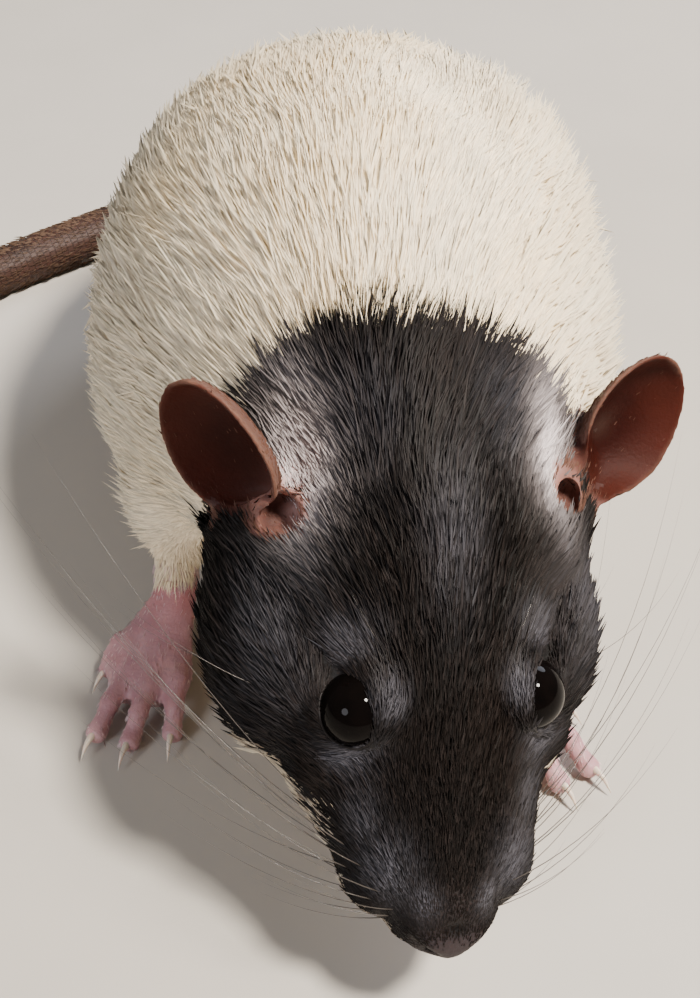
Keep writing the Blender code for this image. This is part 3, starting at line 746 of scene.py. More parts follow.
def shapeFace(points, normals):
    local = inHead(points)
    push = np.zeros(len(points))
    for k, side in enumerate(sides.values()):
        for *swell, place, wide in faceSwells:
            push += swell[k] * near(local, place, wide, side)
    push -= 0.30 * near(local, nose["fold"], (1.1, 0.6, 0.8))
    for which in sides:
        push -= lobe["sunk"] * near(local, ears[which]["canal"], (1.1, 1.1, 1.5))
    lip = ramp(local[:, 1], -16.0, -19.5) * ramp(local[:, 2], -5.2, -6.2)
    push -= nose["cleft"] * bump(local[:, 0], 0.0, 0.42) * lip
    return points + normals * push[:, None]


def faceDepth(local):  # the coat over the skin on the head thins out towards the nose and the eyes
    depth = 0.15 + 0.95 * ramp(local[:, 1], -17.0, 6.0)
    for which in sides:
        reach = roundEye(local, which)[1]
        depth = depth * ramp(reach, eye["radius"] - 0.5, eye["radius"] + 5.0)
    return depth


def smoothPoints(points, pairs, count, soft, big, times=10):
    for passes, amount in ((1, soft), (2, big)):  # the body's solid is coarse, so it is rubbed longer
        for _ in range(times):
            points = points + (blurred(points, pairs, count, passes) - points) * amount[:, None]
    return points


def buildSkin(clay):
    obj = fromClay("skin", clay)
    melt = obj.modifiers.new("melt", "REMESH")
    melt.mode = "VOXEL"
    melt.voxel_size = skin["voxel"] * mm
    settle(obj)
    mesh = obj.data
    points = pointsOf(mesh)
    print("skin knitted:", len(points), "points")

    part = partsAt(points)
    pairs, count = neighbours(mesh)
    soft, depth = (np.array([coat[name][key] for name in parts])[part] for key in ("soft", "depth"))
    big = isPart(part, "torso", "neck", "hindleg").astype(float)
    inFace = isPart(part, "head")
    soft = soft * (1 - 0.75 * inFace * ramp(inHead(points)[:, 1], -9.0, -14.0))  # the muzzle stays crisp
    soft = blurred(soft, pairs, count, 6)
    points = smoothPoints(points, pairs, count, soft, big)
    setPoints(mesh, points)

    high = ramp(normalsOf(mesh)[:, 2], 0.3, 0.9)
    depth = np.where(inFace, faceDepth(inHead(points)), depth * (1 - 0.75 * high))
    depth = blurred(depth, pairs, count, 24)
    normals = unit(blurred(normalsOf(mesh), pairs, count, 3))
    points = points - normals * (depth + skin["swell"])[:, None]
    points = smoothPoints(points, pairs, count, soft * 0.5, big, 5)
    setPoints(mesh, points)
    points = openEyes(shapeFace(points, normalsOf(mesh)))
    points[:, 2] = np.maximum(points[:, 2], 0.0 - ratAt[2])
    setPoints(mesh, points)

    thin = obj.modifiers.new("thin", "DECIMATE")
    thin.ratio = min(1.0, skin["triangles"] / (2 * len(mesh.polygons)))
    settle(obj)
    obj.data.shade_smooth()
    print("skin finished:", len(obj.data.polygons), "faces")
    return obj


clay, spots, labels = buildClay()
skinObject = buildSkin(clay)


# What each point of the skin is, and what grows there
thinPatch = {"at": (10.1, 18.7, 1.8), "wide": (2.7, 5.5, 3.2)}  # thinly haired, beside each ear's root
hood = {"edge": (2.2, 35.0, 47.0), "tilt": -1.0, "turn": 6.5, "ragged": 0.6}
chinLine = (  # how far back on the head and how high the dark hood ends under the cheek
    (-22.0, -9.0), (-14.0, -8.0), (-8.0, -4.7), (-5.0, -5.4), (0.0, -10.0), (8.0, -13.0),
    (27.0, -14.5),
)
paintedSheen = (  # painted sheen: where the dark coat is painted blue-grey as if its lie caught the light, mirrored on the head
    ((0.4, 10.0, 7.5), (2.0, 6.0, 4.0), 0.50),
    ((5.6, 20.5, 6.5), (3.2, 5.0, 4.0), 0.30),
    ((5.7, -1.9, 4.0), (1.3, 1.7, 1.6), 1.00),
    ((8.2, 3.3, 3.2), (2.6, 1.5, 2.0), 0.60),
    ((7.9, -5.4, -0.1), (1.8, 2.4, 2.0), 0.95),
    ((6.8, -10.4, -2.6), (1.4, 2.6, 2.0), 0.60),
    ((5.0, -14.6, -3.4), (2.1, 3.0, 2.2), 1.00),
    ((2.6, -17.6, -2.6), (1.2, 1.6, 1.2), 0.75),
    ((13.4, 4.6, -1.4), (2.4, 5.5, 3.4), 0.60),
    ((10.5, 12.0, 2.6), (2.0, 5.0, 3.0), 0.40),
)


def inHood(points):  # mm inside the dark hood, and less than nothing outside it
    tilt = math.radians(hood["tilt"])
    turn = math.radians(hood["turn"])
    way = (-math.sin(turn), math.cos(turn) * math.cos(tilt), math.sin(tilt))
    back = (points - np.array(hood["edge"])) @ np.array(way)
    local = inHead(points)
    along, level = zip(*chinLine)
    under = local[:, 2] - np.interp(local[:, 1], along, level)
    shoulder = 6.0 * ramp(-points[:, 0], 12.0, 15.0) * ramp(points[:, 1], 27.0, 31.0)
    return np.minimum(-back - shoulder, under * 0.9) + 0.6 * ripple(points, 7.0, 3)


def thinness(points):
    local = inHead(points)
    total = sum(near(local, thinPatch["at"], thinPatch["wide"], side) for side in sides.values())
    return np.clip(total * 1.8, 0, 1)


def tailPlace(points):  # how far along the tail, which way it runs there, the angle round it, its radius
    line = smoothRows(tailLine, 8)
    middles = line[:, :3]
    steps = np.linalg.norm(np.diff(middles, axis=0), axis=1)
    nearest = nearestOf(points, middles)
    way = unit(np.gradient(middles, axis=0))[nearest]
    out = points - middles[nearest]
    along = np.concatenate(([0], np.cumsum(steps)))[nearest] + np.sum(out * way, axis=1)
    angle = np.arctan2(out[:, 2], np.sum(out * unit(np.cross(way, (0, 0, 1))), axis=1))
    return along, way, angle, line[nearest, 3]


def inCup(local, which):  # the bare hollow between the ear's leaf and its canal
    hollow = near(local, (14.8, 17.2, 1.4), (2.3, 2.2, 2.6), sides[which])
    return hollow * 1.5 * ramp(local[:, 1], 14.8, 15.8)


def coatLie(points, share):  # which way the fur runs, before it is combed along the skin
    local = inHead(points)
    ones = np.ones(len(points))
    side = np.sign(points[:, 0] - 1.0)
    headSide = np.sign(local[:, 0]) * ramp(np.abs(local[:, 0]), 2.0, 11.0)
    outward, back, up = coat["head"]["way"]
    headFlow = np.stack((outward * headSide, back * ones, up * np.abs(headSide)), axis=1)
    for which in sides:  # it parts round the eyes
        away, reach, _, _ = roundEye(local, which)
        beside = 0.9 * np.exp(-np.maximum(reach - eye["radius"] - 0.4, 0) / 1.6)[:, None]
        headFlow = headFlow - away * beside * np.sum(headFlow * away, axis=1, keepdims=True)
    leafWays = [headAxes @ unit(ears[which]["points"]) for which in ("left", "right")]
    turns = np.stack((side, ones, ones), axis=1)
    flow = {name: turns * coat[name]["way"] for name in parts if coat[name]["way"]}
    flow["head"] = headFlow @ headAxes.T
    flow["ear"] = np.where(side[:, None] > 0, *leafWays)
    flow["tail"] = tailPlace(points)[1]
    return sum(share[name][:, None] * unit(flow[name]) for name in parts)


def readSkin(mesh):
    points = pointsOf(mesh)
    pairs, count = neighbours(mesh)
    part = partsAt(points)
    share = {name: blurred(part == k, pairs, count, 14) for k, name in enumerate(parts)}
    normals = unit(blurred(normalsOf(mesh), pairs, count, 2))
    local = inHead(points)
    way = coatLie(points, share)
    field = {"points": points, "normals": normals, "way": way, "part": part, "share": share}
    field["rim"], field["cup"] = np.zeros(len(points)), np.zeros(len(points))
    for key in ("density", "length", "width", "lift"):
        field[key] = sum(share[name] * coat[name][key] for name in parts)

    def change(where, **amounts):  # -0.4 takes away four tenths of it where that is 1
        for key, amount in amounts.items():
            field[key] = field[key] * (1 + amount * where)

    steep = np.abs(np.sum(unit(way) * normals, axis=1)) * (share["head"] + share["neck"] + share["ear"])
    change(ramp(steep, 0.6, 0.92), length=-0.65, lift=-0.5)  # no spikes behind the jaw
    change(bump(inHood(points), 0.0, 2.0), width=-0.3, density=0.35)
    nearNose = share["head"] * (1 - ramp(local[:, 1], -20.0, 8.0))
    change(nearNose, length=-0.58, width=-0.30, density=0.45)
    belly = (share["torso"] + share["neck"]) * ramp(normals[:, 2], -0.45, -0.8)
    change(belly, density=-0.6)
    change(share["head"] * ramp(local[:, 1], -14.5, -19.0), length=-0.55, lift=-0.4)
    bare = near(local, nose["pad"], (2.5, 1.5, 1.9)) * 1.5
    bare = np.maximum(bare, 0.45 * near(local, (0.0, -17.6, -2.2), (2.8, 1.6, 1.6)))
    for which, side in sides.items():
        _, reach, _, past = roundEye(local, which)
        close = reach < eye["radius"] + 2.0
        bare = np.maximum(bare, close * ramp(past, -0.02, -0.10))
        field["rim"] = np.maximum(field["rim"], close * ramp(past, 0.34, 0.10))
        change(np.exp(-np.maximum(reach - eye["radius"], 0) / 1.2), length=-0.5, density=1.2)
        hollow = inCup(local, which) * (1 - share["ear"])
        canal = near(local, ears[which]["canal"], (2.3, 2.3, 2.4)) * 1.5
        field["cup"] = np.maximum(field["cup"], np.clip(np.maximum(hollow, canal), 0, 1))
        facing = np.sum(normals * (headAxes @ earFrame(which)[3]), axis=1)
        change(share["ear"] * ramp(facing, -0.1, 0.3) * (local[:, 0] * side > 0), density=-0.9)
    change(np.clip(np.maximum(bare, field["cup"]), 0, 1), density=-1)
    change(thinness(points), density=-0.15, length=-0.55)
    for side in sides.values():  # short fur under the ear's outer root
        change(near(local, (16.6, 17.0, -7.0), (2.6, 3.6, 7.0), side), length=-0.6, lift=-0.6)
    soles = np.clip(share["forefoot"] + share["hindfoot"], 0, 1) * ramp(points[:, 2], 1.6, 0.6)
    change(soles, density=-1)
    wrist = (share["foreleg"] + share["forefoot"]) * ramp(points[:, 2], 16.0, 13.0)
    field["wrist"] = np.clip(wrist, 0, 1)
    change(field["wrist"] * share["foreleg"], density=-0.85)
    cuff = share["foreleg"] * ramp(points[:, 2], 21.0, 14.0)  # the fur shortens towards the wrist
    change(cuff, length=-0.6, width=-0.4)
    field["hood"] = inHood(points)
    return field


field = readSkin(skinObject.data)
print("lie of the coat ready")

# The near-black fold, nostril and canal colours are painted shade where the skin dips in; the ear's darkest
# red is partly painted shade in the hollow of its cup.
paint = {
    "underDark": "#1A1615", "underPale": "#F1E0CA", "thin": "#EBD2D2", "rim": "#0D0A0A",
    "foot": "#AB7D83", "toe": "#C39A9E", "wrist": "#B06C6C", "nose": "#2D2426",
    "noseTop": "#231C1C", "noseFoldShade": "#080606", "nostril": "#140D0D", "lip": "#8E6865",
    "earHollowShade": "#270B07", "earLeaf": "#421D15", "earRim": "#664A3F", "earRoot": "#8E655C",
    "earBack": "#5E443C", "canal": "#1E0B09", "tail": "#3F2A23", "tailDark": "#2E201B",
    "tailRoot": "#96745F",
}
nosePaints = (  # colour, place, width and strength
    ("noseTop", (0.0, -17.6, -2.4), (3.0, 2.0, 1.8), 1.3),
    ("nose", nose["pad"], (3.0, 1.7, 2.4), 1.7),
    # painted shade: the fold behind the nose pad painted near black
    ("noseFoldShade", nose["fold"], (1.2, 0.8, 0.9), 1.2),
)


def paintLeaf(points, which):  # an ear's colours; the middle of its cup is darkest, the leaf's own red with painted shade in the hollow
    t, s, _ = earPlace(points, which)
    inside = np.sum(field["normals"] * (headAxes @ earFrame(which)[3]), axis=1) > 0
    face = mixed(paint["earLeaf"], paint["earHollowShade"], bump(t, 0.45, 0.42) * bump(s, 0.0, 0.72) * 1.25)
    face = mixed(face, paint["earRoot"], ramp(t, 0.06, -0.08))
    outside = mixed(paint["earBack"], paint["earRoot"], ramp(t, 0.3, 0.0))
    edge = np.maximum(ramp(np.abs(s), 0.88, 1.0), ramp(t, 0.95, 1.0)) * ramp(t, 0.0, 0.2)
    colour = mixed(np.where(inside[:, None], face, outside), paint["earRim"], edge)
    return mixed(colour, paint["earRoot"], near(inHead(points), ears[which]["canal"], 2.6) * 1.6)


def paintHead(local, under):
    colour = mixed(under, paint["rim"], field["rim"])
    for name, place, wide, strength in nosePaints:
        colour = mixed(colour, paint[name], near(local, place, wide) * strength)
    # painted shade: each nostril painted near black where its slit dips in
    for side in sides.values():
        hole = near(local, nose["nostril"], (0.75, 1.5, 0.55), side)
        colour = mixed(colour, paint["nostril"], hole * 1.6)
    lips = bump(local[:, 2], -9.6, 0.9) * ramp(local[:, 1], -12.0, -15.0)
    return mixed(colour, paint["lip"], lips * 0.8)


def storeColours(mesh, name, colours):
    store = mesh.attributes.new(name, "FLOAT_COLOR", "POINT")
    store.data.foreach_set("color", np.insert(colours.reshape(-1, 3), 3, 1.0, axis=1).ravel())


def paintSkin(mesh):
    points, share, local = field["points"], field["share"], inHead(field["points"])
    under = mixed(paint["underPale"], paint["underDark"], ramp(field["hood"], -1.0, 1.0))
    under = mixed(under, paint["thin"], thinness(points))
    under = mixed(under, paint["earRoot"], field["cup"])
    under = mixed(under, paint["earLeaf"], field["cup"] * ramp(np.abs(local[:, 0]), 13.5, 15.5))
    leaf = np.zeros((len(points), 3))
    for which, side in sides.items():
        mine = local[:, 0] * side > 0
        leaf = np.where(mine[:, None], paintLeaf(points, which), leaf)
        canal = np.array(ears[which]["canal"])
        under = mixed(under, paint["earRoot"], near(local, canal, (2.5, 2.5, 2.6)) * 1.6)
        # painted shade: the ear's canal painted near black down its hole
        hole = near(local, canal - (0.0, 0.0, 1.0), (1.4, 1.4, 1.6)) * 1.5
        under, leaf = (mixed(colour, paint["canal"], hole) for colour in (under, leaf))
    blotch = 0.5 + 0.5 * ripple(points, 3.0, 11)
    foot = mixed(paint["foot"], paint["toe"], 0.5 * blotch + 0.5 * ramp(points[:, 2], 4.0, 1.0))
    foot = mixed(foot, paint["wrist"], 0.6 * field["wrist"] * ramp(points[:, 2], 6.0, 9.0))
    along, _, angle, radius = tailPlace(points)
    tail = mixed(paint["tail"], paint["tailDark"], 0.8 * ramp(ripple(points, 9.0, 12), -0.1, 0.9))
    tail = mixed(paint["tailRoot"], tail, ramp(along, 2.0, 18.0))
    colours = dict.fromkeys(parts, under)
    colours.update(ear=leaf, tail=tail, forefoot=foot, hindfoot=foot)
    colours.update(head=paintHead(local, under), foreleg=mixed(under, foot, field["wrist"]))
    storeColours(mesh, "skinPaint", sum(share[name][:, None] * colours[name] for name in parts))
    for name, values in (("tailAlong", along * mm), ("tailRound", angle * radius * mm)):
        mesh.attributes.new(name, "FLOAT", "POINT").data.foreach_set("value", values)


# Living skin is soft, moist and a little see-through: light goes in and comes out reddened.
livingSkin = {"IOR": 1.4, "Subsurface Radius": (1.0, 0.35, 0.2), "Subsurface Scale": 0.8 * mm}
skinLooks = {  # roughness, gloss, how much light goes in and how strong the pores are
    "haired skin": (0.6, 0.4, 0.1, 0.4),
    "bare foot skin": (0.48, 0.5, 0.25, 0.7),
    "thin ear skin": (0.55, 0.1, 0.2, 0.45),
    "scaly tail skin": (0.55, 0.4, 0.15, 0.4),
}
lookOf = {"forefoot": 1, "hindfoot": 1, "ear": 2, "tail": 3}
pore = {"grain": 0.35, "deep": 0.12}  # in mm
tailScale = {"wide": 0.75, "long": 0.95, "groove": 0.10, "deep": 0.15}  # in mm, as on a young adult


def addScales(tree, colour, relief):  # rings of small scales round the tail
    names = ("tailRound", "tailAlong")
    girth, along = (addNode(tree, "Attribute", {}, attribute_name=name).outputs["Fac"] for name in names)
    bricks = {
        "Vector": addNode(tree, "CombineXYZ", {"X": girth, "Y": along}).outputs["Vector"],
        "Color1": (1, 1, 1, 1),
        "Color2": (0.75, 0.75, 0.75, 1),
        "Mortar": (0, 0, 0, 1),
        "Scale": 1.0,
        "Mortar Size": tailScale["groove"] * mm,
        "Mortar Smooth": 0.6,
        "Brick Width": tailScale["wide"] * mm,
        "Row Height": tailScale["long"] * mm,
    }
    scales = addNode(tree, "TexBrick", bricks).outputs["Color"]
    steps = {"Height": scales, "Strength": 0.7, "Distance": tailScale["deep"] * mm, "Normal": relief}
    return shaded(tree, colour, scales, 0.62, 1.05), addNode(tree, "Bump", steps).outputs["Normal"]


def skinMaterial(name, roughness, gloss, scatter, wrinkle):
    levels = {"Roughness": roughness, "Specular IOR Level": gloss, "Subsurface Weight": scatter}
    made, tree, shader, place = newMaterial(name, {**livingSkin, **levels})
    colour = addNode(tree, "Attribute", {}, attribute_name="skinPaint").outputs["Color"]
    pores = addNode(tree, "TexNoise", {"Vector": place, "Scale": 1 / (pore["grain"] * mm), "Detail": 3})
    mottle = addNode(tree, "TexNoise", {"Vector": place, "Scale": 1 / (2.2 * mm), "Detail": 2})
    colour = shaded(tree, colour, mottle.outputs["Fac"], 0.82, 1.16)
    bumps = {"Height": pores.outputs["Fac"], "Strength": wrinkle, "Distance": pore["deep"] * mm}
    relief = addNode(tree, "Bump", bumps).outputs["Normal"]
    if name == "scaly tail skin":
        colour, relief = addScales(tree, colour, relief)
    tree.links.new(colour, shader.inputs["Base Color"])
    tree.links.new(relief, shader.inputs["Normal"])
    return made


def dressSkin(mesh):
    for name, look in skinLooks.items():
        mesh.materials.append(skinMaterial(name, *look))
    look = np.array([lookOf.get(name, 0) for name in parts])[field["part"]]
    firsts = np.array([mesh.loops[polygon.loop_start].vertex_index for polygon in mesh.polygons])
    mesh.polygons.foreach_set("material_index", look[firsts].astype(np.int32))
    mesh.update()


paintSkin(skinObject.data)
dressSkin(skinObject.data)
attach(skinObject, "root")
flesh = [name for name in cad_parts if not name.startswith("eye_")]
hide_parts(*flesh)
print("skin painted")


# The coat
hair = {
    "dark": "#0C0A09", "darkPale": "#231D1B", "darkBrown": "#1E1612", "paintedSheen": "#5E5D64",
    "pale": "#F0E0C4", "paleWarm": "#E9D4AC", "fringe": "#6E5849", "thin": "#DCD0D0",
    "ear": "#5E4136", "foot": "#D8BDBC", "tail": "#544134",
    "guards": 0.05,  # share of the tufts that are long guard hairs
    "clump": 12,  # tufts to a clump
    "gather": 0.22,  # how far the tips of a clump draw together
    "rooted": 0.25,  # mm under the skin where a tuft starts
    "offFloor": 0.02,
}


def scatterRoots(mesh):
    mesh.calc_loop_triangles()
    corners = np.zeros(len(mesh.loop_triangles) * 3, np.int32)
    mesh.loop_triangles.foreach_get("vertices", corners)
    corners = corners.reshape(-1, 3)
    a, b, c = (field["points"][corners[:, k]] for k in range(3))
    area = np.linalg.norm(np.cross(b - a, c - a), axis=1) / 2
    expected = area * field["density"][corners].mean(axis=1)
    number = np.floor(expected + random.random(len(expected))).astype(int)
    owner = np.repeat(np.arange(len(corners)), number)
    u, v = random.random(len(owner)), random.random(len(owner))
    over = u + v > 1
    u[over], v[over] = 1 - u[over], 1 - v[over]
    weights = np.stack((1 - u - v, u, v), axis=1)
    corners = corners[owner]

    def spread(values):
        picked = values[corners]
        shape = weights if picked.ndim == 2 else weights[:, :, None]
        return (picked * shape).sum(axis=1)

    keys = ("points", "normals", "way", "length", "width", "lift", "hood")
    roots = {key: spread(field[key]) for key in keys}
    roots["part"] = field["part"][corners[:, 0]]
    return roots


def combed(roots):
    normals = unit(roots["normals"])
    points = roots["points"]
    total = len(points)
    way = unit(roots["way"] - normals * np.sum(roots["way"] * normals, axis=1, keepdims=True))
    across = np.cross(way, normals)
    stray = 0.12 * random.normal(size=total) + 0.12 * ripple(points, 9.0, 21)
    way = way * np.cos(stray)[:, None] + across * np.sin(stray)[:, None]
    across = np.cross(way, normals)
    guard = random.random(total) < hair["guards"]
    length = roots["length"] * random.uniform(0.72, 1.22, total) * np.where(guard, 1.4, 1.0)
    flank = ramp(points[:, 0], 9.0, 19.0) * isPart(roots["part"], "torso", "neck")
    lift = np.radians(roots["lift"] * random.uniform(0.5, 1.4, total) + np.where(guard, 3 + 14 * flank, 0))
    width = roots["width"] * random.uniform(0.75, 1.25, total) * np.where(guard, 0.75, 1.0)

    def reach(share, more):
        angle = lift + math.radians(more)
        return (way * np.cos(angle)[:, None] + normals * np.sin(angle)[:, None]) * (length * share)[:, None]

    mid = points + reach(0.42, 7)
    tip = points + reach(1.0, 0)
    guides = random.choice(total, total // hair["clump"], replace=False)
    leader = guides[nearestOf(points, points[guides])]
    same = (roots["part"][leader] == roots["part"]) & ~guard
    gather = np.where(same, random.uniform(0.0, hair["gather"], total), 0.0)[:, None]
    mid = mid + (mid[leader] - mid) * gather * 0.45
    tip = tip + (tip[leader] - tip) * gather
    half = (across * width[:, None]) / 2
    tufts = np.stack((points - normals * hair["rooted"], mid - half, mid + half, tip), axis=1)
    tufts[:, :, 2] = np.maximum(tufts[:, :, 2], hair["offFloor"] - ratAt[2])
    return tufts, across, normals


def coatColours(roots):
    points, local, total = roots["points"], inHead(roots["points"]), len(roots["points"])
    dark = mixed(hair["dark"], hair["darkPale"], random.random(total) ** 2.2)
    brown = 0.35 + 0.35 * ripple(points, 12.0, 31)
    dark = mixed(dark, hair["darkBrown"], brown * random.random(total))
    # painted sheen: dark tufts turn blue-grey in patches where their lie would catch the light
    sheenShare = np.zeros(total)
    for centre, wide, strength in paintedSheen:
        for side in sides.values():
            sheenShare = np.maximum(sheenShare, strength * near(local, centre, wide, side))
    dark = mixed(dark, hair["paintedSheen"], sheenShare * random.uniform(0.15, 1.0, total))
    warm = 0.22 * random.random(total) + 0.25 * ripple(points, 16.0, 32)
    pale = mixed(hair["pale"], hair["paleWarm"], warm)
    edge = bump(roots["hood"], 0.0, 1.3) * ramp(local[:, 1], 20.0, 8.0)
    pale = mixed(pale, hair["fringe"], edge * random.random(total))
    isDark = roots["hood"] + hood["ragged"] * random.normal(size=total) > 0
    colour = np.where(isDark[:, None], dark, pale)
    colour = mixed(colour, hair["thin"], thinness(points) * random.uniform(0.6, 1, total))
    for key, names in (("ear", ["ear"]), ("foot", ["forefoot", "hindfoot"]), ("tail", ["tail"])):
        colour = np.where(isPart(roots["part"], *names)[:, None], linear(hair[key]), colour)
    colour = colour * random.uniform(0.93, 1.06, total)[:, None]
    # painted shade: each tuft's root darkened where the coat shades it, deepest in the dark coat; its tip a
    # little paler
    rootShadeAndTips = [np.where(isDark, 0.6, 0.96)] + [np.full(total, level) for level in (0.97, 0.97, 1.1)]
    return np.clip(colour[:, None] * np.stack(rootShadeAndTips, axis=1)[:, :, None], 0, 0.95)


def unwrapped(points, name):  # the skin laid flat: round each part and along it
    local = inHead(points)
    if name == "head":
        return np.stack((np.arctan2(local[:, 0], local[:, 2] + 7), local[:, 1] / 20), axis=1)
    if name == "ears":
        flat = np.zeros((len(points), 2))
        for which, shift in (("right", 0.0), ("left", 2.4)):
            mine = (local[:, 0] < 0) == (which == "right")
            t, s, depth = earPlace(points[mine], which)
            front = depth > -cupDepth(t) * (1 - s**2)
            flat[mine] = np.stack((s + shift, np.clip(t, -0.3, 1.1) + np.where(front, 1.6, 0.0)), axis=1)
        return flat
    if name == "tail":
        along, _, angle, _ = tailPlace(points)
        return np.stack((angle, along / 30), axis=1)
    if name == "limbs":
        left = points[:, 0] > 0
        angle = np.arctan2(points[:, 0] - np.where(left, 18.0, -20.0), points[:, 2] - 3)
        return np.stack((angle + np.where(left, 8.0, 0.0), (points[:, 1] + points[:, 2]) / 8), axis=1)
    return np.stack((np.arctan2(points[:, 0], points[:, 2] - 20), points[:, 1] / 30), axis=1)


coatGroups = {
    "torso": (("torso",), "pale_coat"),
    "neck": (("neck",), "dark_coat"),
    "head": (("head",), "dark_coat"),
    "haunches": (("hindleg",), "pale_coat"),
    "limbs": (("foreleg", "forefoot", "hindfoot"), "pale_coat"),
    "ears": (("ear",), "ear_skin"),
    "tail": (("tail",), "tail_skin"),
}
tuftFaces = np.array(((0, 2, 1), (3, 1, 2), (0, 1, 3), (0, 3, 2)))  # root, two sides and tip
tuftPatch = np.array(((0.0, -0.5), (-0.5, 0.0), (0.5, -0.05), (0.05, 0.5))) * 0.003
mostTufts = 48000  # under 200,000 triangles to a piece


def hairMaterial():
    # Hair is keratin: half gloss along its length, a little see-through, coloured from inside.
    levels = {"Roughness": 0.52, "IOR": 1.5, "Specular IOR Level": 0.10}
    made, tree, shader, place = newMaterial("keratin hair", levels)
    colour = addNode(tree, "Attribute", {}, attribute_name="coatPaint").outputs["Color"]
    streak = addNode(tree, "TexNoise", {"Vector": place, "Scale": 1 / (0.9 * mm), "Detail": 2})
    colour = shaded(tree, colour, streak.outputs["Fac"], 0.87, 1.13)
    tree.links.new(colour, shader.inputs["Base Color"])
    return made


def growCoat():
    roots = scatterRoots(skinObject.data)
    print("tufts:", len(roots["part"]))
    tufts, across, normals = combed(roots)
    tilt = unit(normals + 0.09 * random.normal(size=normals.shape))
    shine = np.stack((tilt, unit(tilt - 0.32 * across), unit(tilt + 0.32 * across), tilt), axis=1)
    colours = coatColours(roots)
    keratin = hairMaterial()
    for name, (members, slot) in coatGroups.items():
        mine = np.flatnonzero(isPart(roots["part"], *members))
        mine = mine[np.argsort(roots["points"][mine, 1], kind="stable")]
        slices = np.array_split(mine, math.ceil(len(mine) / mostTufts))
        for k, chosen in enumerate(slices):
            label = f"coat_{name}" if len(slices) == 1 else f"coat_{name}_{k + 1}"
            triangles = (tuftFaces[None] + 4 * np.arange(len(chosen))[:, None, None]).reshape(-1, 3)
            mesh = arrayMesh(label, tufts[chosen].reshape(-1, 3), triangles)
            storeColours(mesh, "coatPaint", colours[chosen])
            flat = unwrapped(roots["points"][chosen], name)
            low, high = flat.min(axis=0), flat.max(axis=0)
            flat = 0.01 + 0.98 * (flat - low) / (high - low)
            patch = (flat[:, None, None] + tuftPatch[tuftFaces][None]).reshape(-1, 2)
            layer = mesh.uv_layers.new(name="OFBake")
            layer.data.foreach_set("uv", patch.ravel())
            mesh.normals_split_custom_set_from_vertices(shine[chosen].reshape(-1, 3))
            mesh.materials.append(keratin)
            piece = newObject(label, mesh)
            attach(piece, "root")
            print(label, len(chosen))


growCoat()
print("coat grown")


def eyeMaterial():
    # A dark eye: a clear cornea wet with tears, over an iris and pupil too deep to tell apart.
    levels = {"Roughness": 0.03, "IOR": 1.336, "Specular IOR Level": 0.10}
    return grained("wet dark eye", *map(linear, eye["hex"]), 1.6, 2, levels)[0]


def lidMaterial():
    # The rim of the lids is bare dark skin, always moist.
    levels = {"Roughness": 0.5, "Specular IOR Level": 0.2}
    made, tree, shader, grain = grained("moist lid rim", *map(linear, eye["lidHex"]), 0.3, 2, levels)
    relief = addNode(tree, "Bump", {"Height": grain, "Strength": 0.5, "Distance": 0.05 * mm})
    tree.links.new(relief.outputs["Normal"], shader.inputs["Normal"])
    return made


def finishPiece(name, clay, made, slot, *nodes):
    piece = fromClay(name, clay)
    piece.data.shade_smooth()
    piece.data.materials.append(made)
    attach(piece, "root")
    if nodes:
        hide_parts(*nodes)


def buildEyes():
    wet, rim = eyeMaterial(), lidMaterial()
    for which in sides:
        at, gaze, along, across = eyePlace(which)
        clay = bmesh.new()
        addBall(clay, fromHead(at), (eye["radius"],) * 3, rings=28)
        finishPiece("eyeball_" + which, clay, wet, "eye_black", "eye_" + which)
        clay = bmesh.new()
        turn = roundTurn(120)
        angle = lidAngle(turn, which)[:, None]
        out = along * np.cos(turn)[:, None] + across * np.sin(turn)[:, None]
        path = at + (gaze * np.cos(angle) + out * np.sin(angle)) * (eye["radius"] + 0.08)
        corner = np.exp(-((np.arctan2(np.sin(turn), np.cos(turn)) / 0.4) ** 2))
        addLoop(clay, fromHead(path), 0.12 + 0.08 * corner, 10, fromHead(at))
        finishPiece("lids_" + which, clay, rim, "dark_coat")


buildEyes()


def clawMaterial():
    # A claw is clear horn over a pink quick, polished by use.
    levels = {
        "Roughness": 0.25,
        "IOR": 1.55,
        "Subsurface Weight": 0.4,
        "Subsurface Radius": (1.0, 0.5, 0.35),
        "Subsurface Scale": 0.5 * mm,
    }
    horn = linear(claw["hex"])
    return grained("clear horn claw", horn * 0.8, horn, 0.8, 2, levels)[0]


def buildClaws():
    horn = clawMaterial()
    t = np.linspace(0, 1, 9)
    high = claw["arch"] * np.sin(math.pi * t) - claw["drop"] * t**2
    radii = claw["radius"] * (1 - 0.93 * t**1.4)
    for label, kind in (("forefoot", foreFoot), ("hindfoot", hindFoot)):
        for which in sides:
            clay = bmesh.new()
            for root in kind["toes"]:
                rows, way = toeLine(kind, root)
                start = rows[-1][:3] + np.array((0, 0, claw["above"])) - way * claw["sunk"]
                spots = start + way * ((claw["length"] + claw["sunk"]) * t)[:, None]
                spots[:, 2] = np.maximum(spots[:, 2] + high, claw["lowest"])
                addTube(clay, onFoot(kind, which, spots), radii, 10, claw["tall"])
            finishPiece(f"claws_{label}_{which}", clay, horn, "bare_skin")


buildClaws()

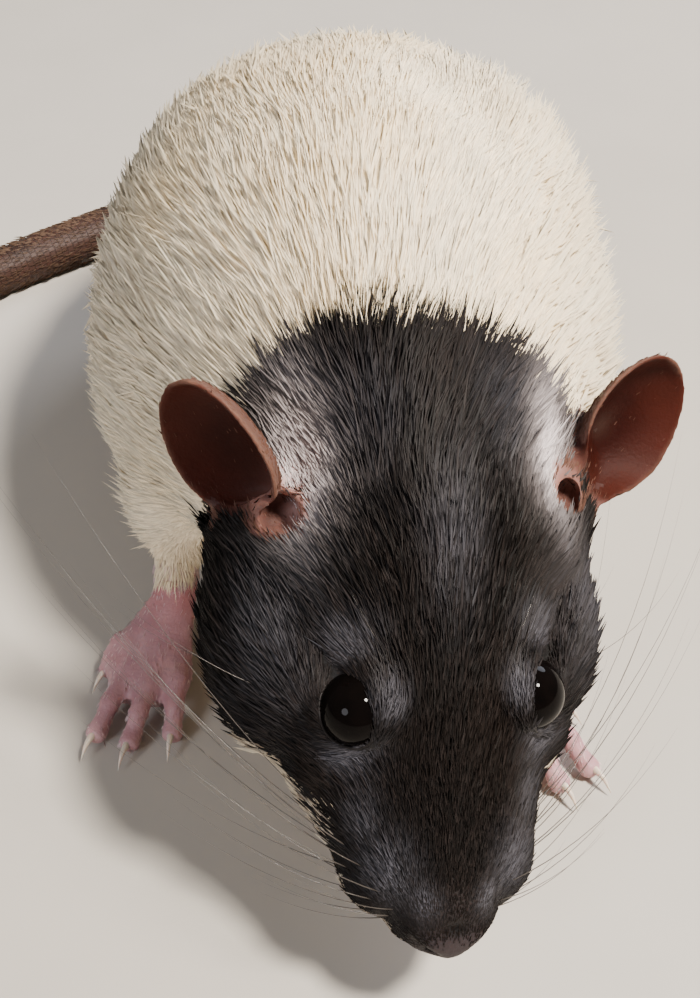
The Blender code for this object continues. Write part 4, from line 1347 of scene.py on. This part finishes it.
whisker = {
    "rows": 4,
    "columns": 5,
    "shortest": 11.0,
    "longest": 36.0,
    "radius": 0.052,
    "hex": ("#1E1A19", "#625B55"),
    "others": (  # on the brow and the cheek: place, way and length
        ((5.6, 2.6, 4.2), (0.6, 1.0, 0.25), 7.0),
        ((4.4, 1.4, 4.2), (0.3, 1.0, 0.20), 5.0),
        ((12.0, 3.0, -4.6), (1.0, 0.4, 0.0), 14.0),
        ((12.4, 5.5, -7.0), (1.0, 0.5, -0.2), 9.0),
    ),
}


def whiskerMaterial():
    # A whisker is one stiff glossy hair, dark at its root and paler towards its tip.
    return grained("stiff whisker", *map(linear, whisker["hex"]), 9, 1, {"Roughness": 0.3})[0]


def addWhisker(clay, root, way, length, sag, radius):
    t = np.linspace(0, 1, 12)[:, None]
    points = fromHead(root + (way * t + sag * t**2) * length)
    points[:, 2] = np.maximum(points[:, 2], 0.3 - ratAt[2])
    addTube(clay, points, radius * (1 - 0.9 * t[:, 0] ** 0.9), 5)


def buildWhiskers():
    tree = treeOf(inHead(field["points"]))
    stiff = whiskerMaterial()
    own = np.random.default_rng(77)
    for which, side in sides.items():
        clay = bmesh.new()
        for row in range(whisker["rows"]):
            for column in range(whisker["columns"]):
                back = column / (whisker["columns"] - 1)
                high = row / (whisker["rows"] - 1)
                guess = (side * (4.6 + 3.6 * back), -17.6 + 7.6 * back, -9.0 + 4.2 * high)
                way = unit((side * 1.0, 0.15 + 0.75 * back, -0.42 + 0.75 * high) + own.normal(size=3) * 0.07)
                sag = np.array((0.0, 0.28 + 0.1 * back, -0.16 - 0.1 * (1 - high)))
                length = whisker["shortest"] + (whisker["longest"] - whisker["shortest"]) * back
                length *= own.uniform(0.85, 1.1)
                addWhisker(clay, np.array(tree.find(guess)[0]), way, length, sag, whisker["radius"])
        for place, way, length in whisker["others"]:
            root = np.array(tree.find(mirrored(place, side))[0])
            turn = unit(mirrored(way, side) + own.normal(size=3) * 0.05)
            addWhisker(clay, root, turn, length, np.array((0.0, 0.30, -0.2)), whisker["radius"] * 0.7)
        finishPiece("whiskers_" + which, clay, stiff, "dark_coat")


buildWhiskers()
print("eyes, claws and whiskers set")
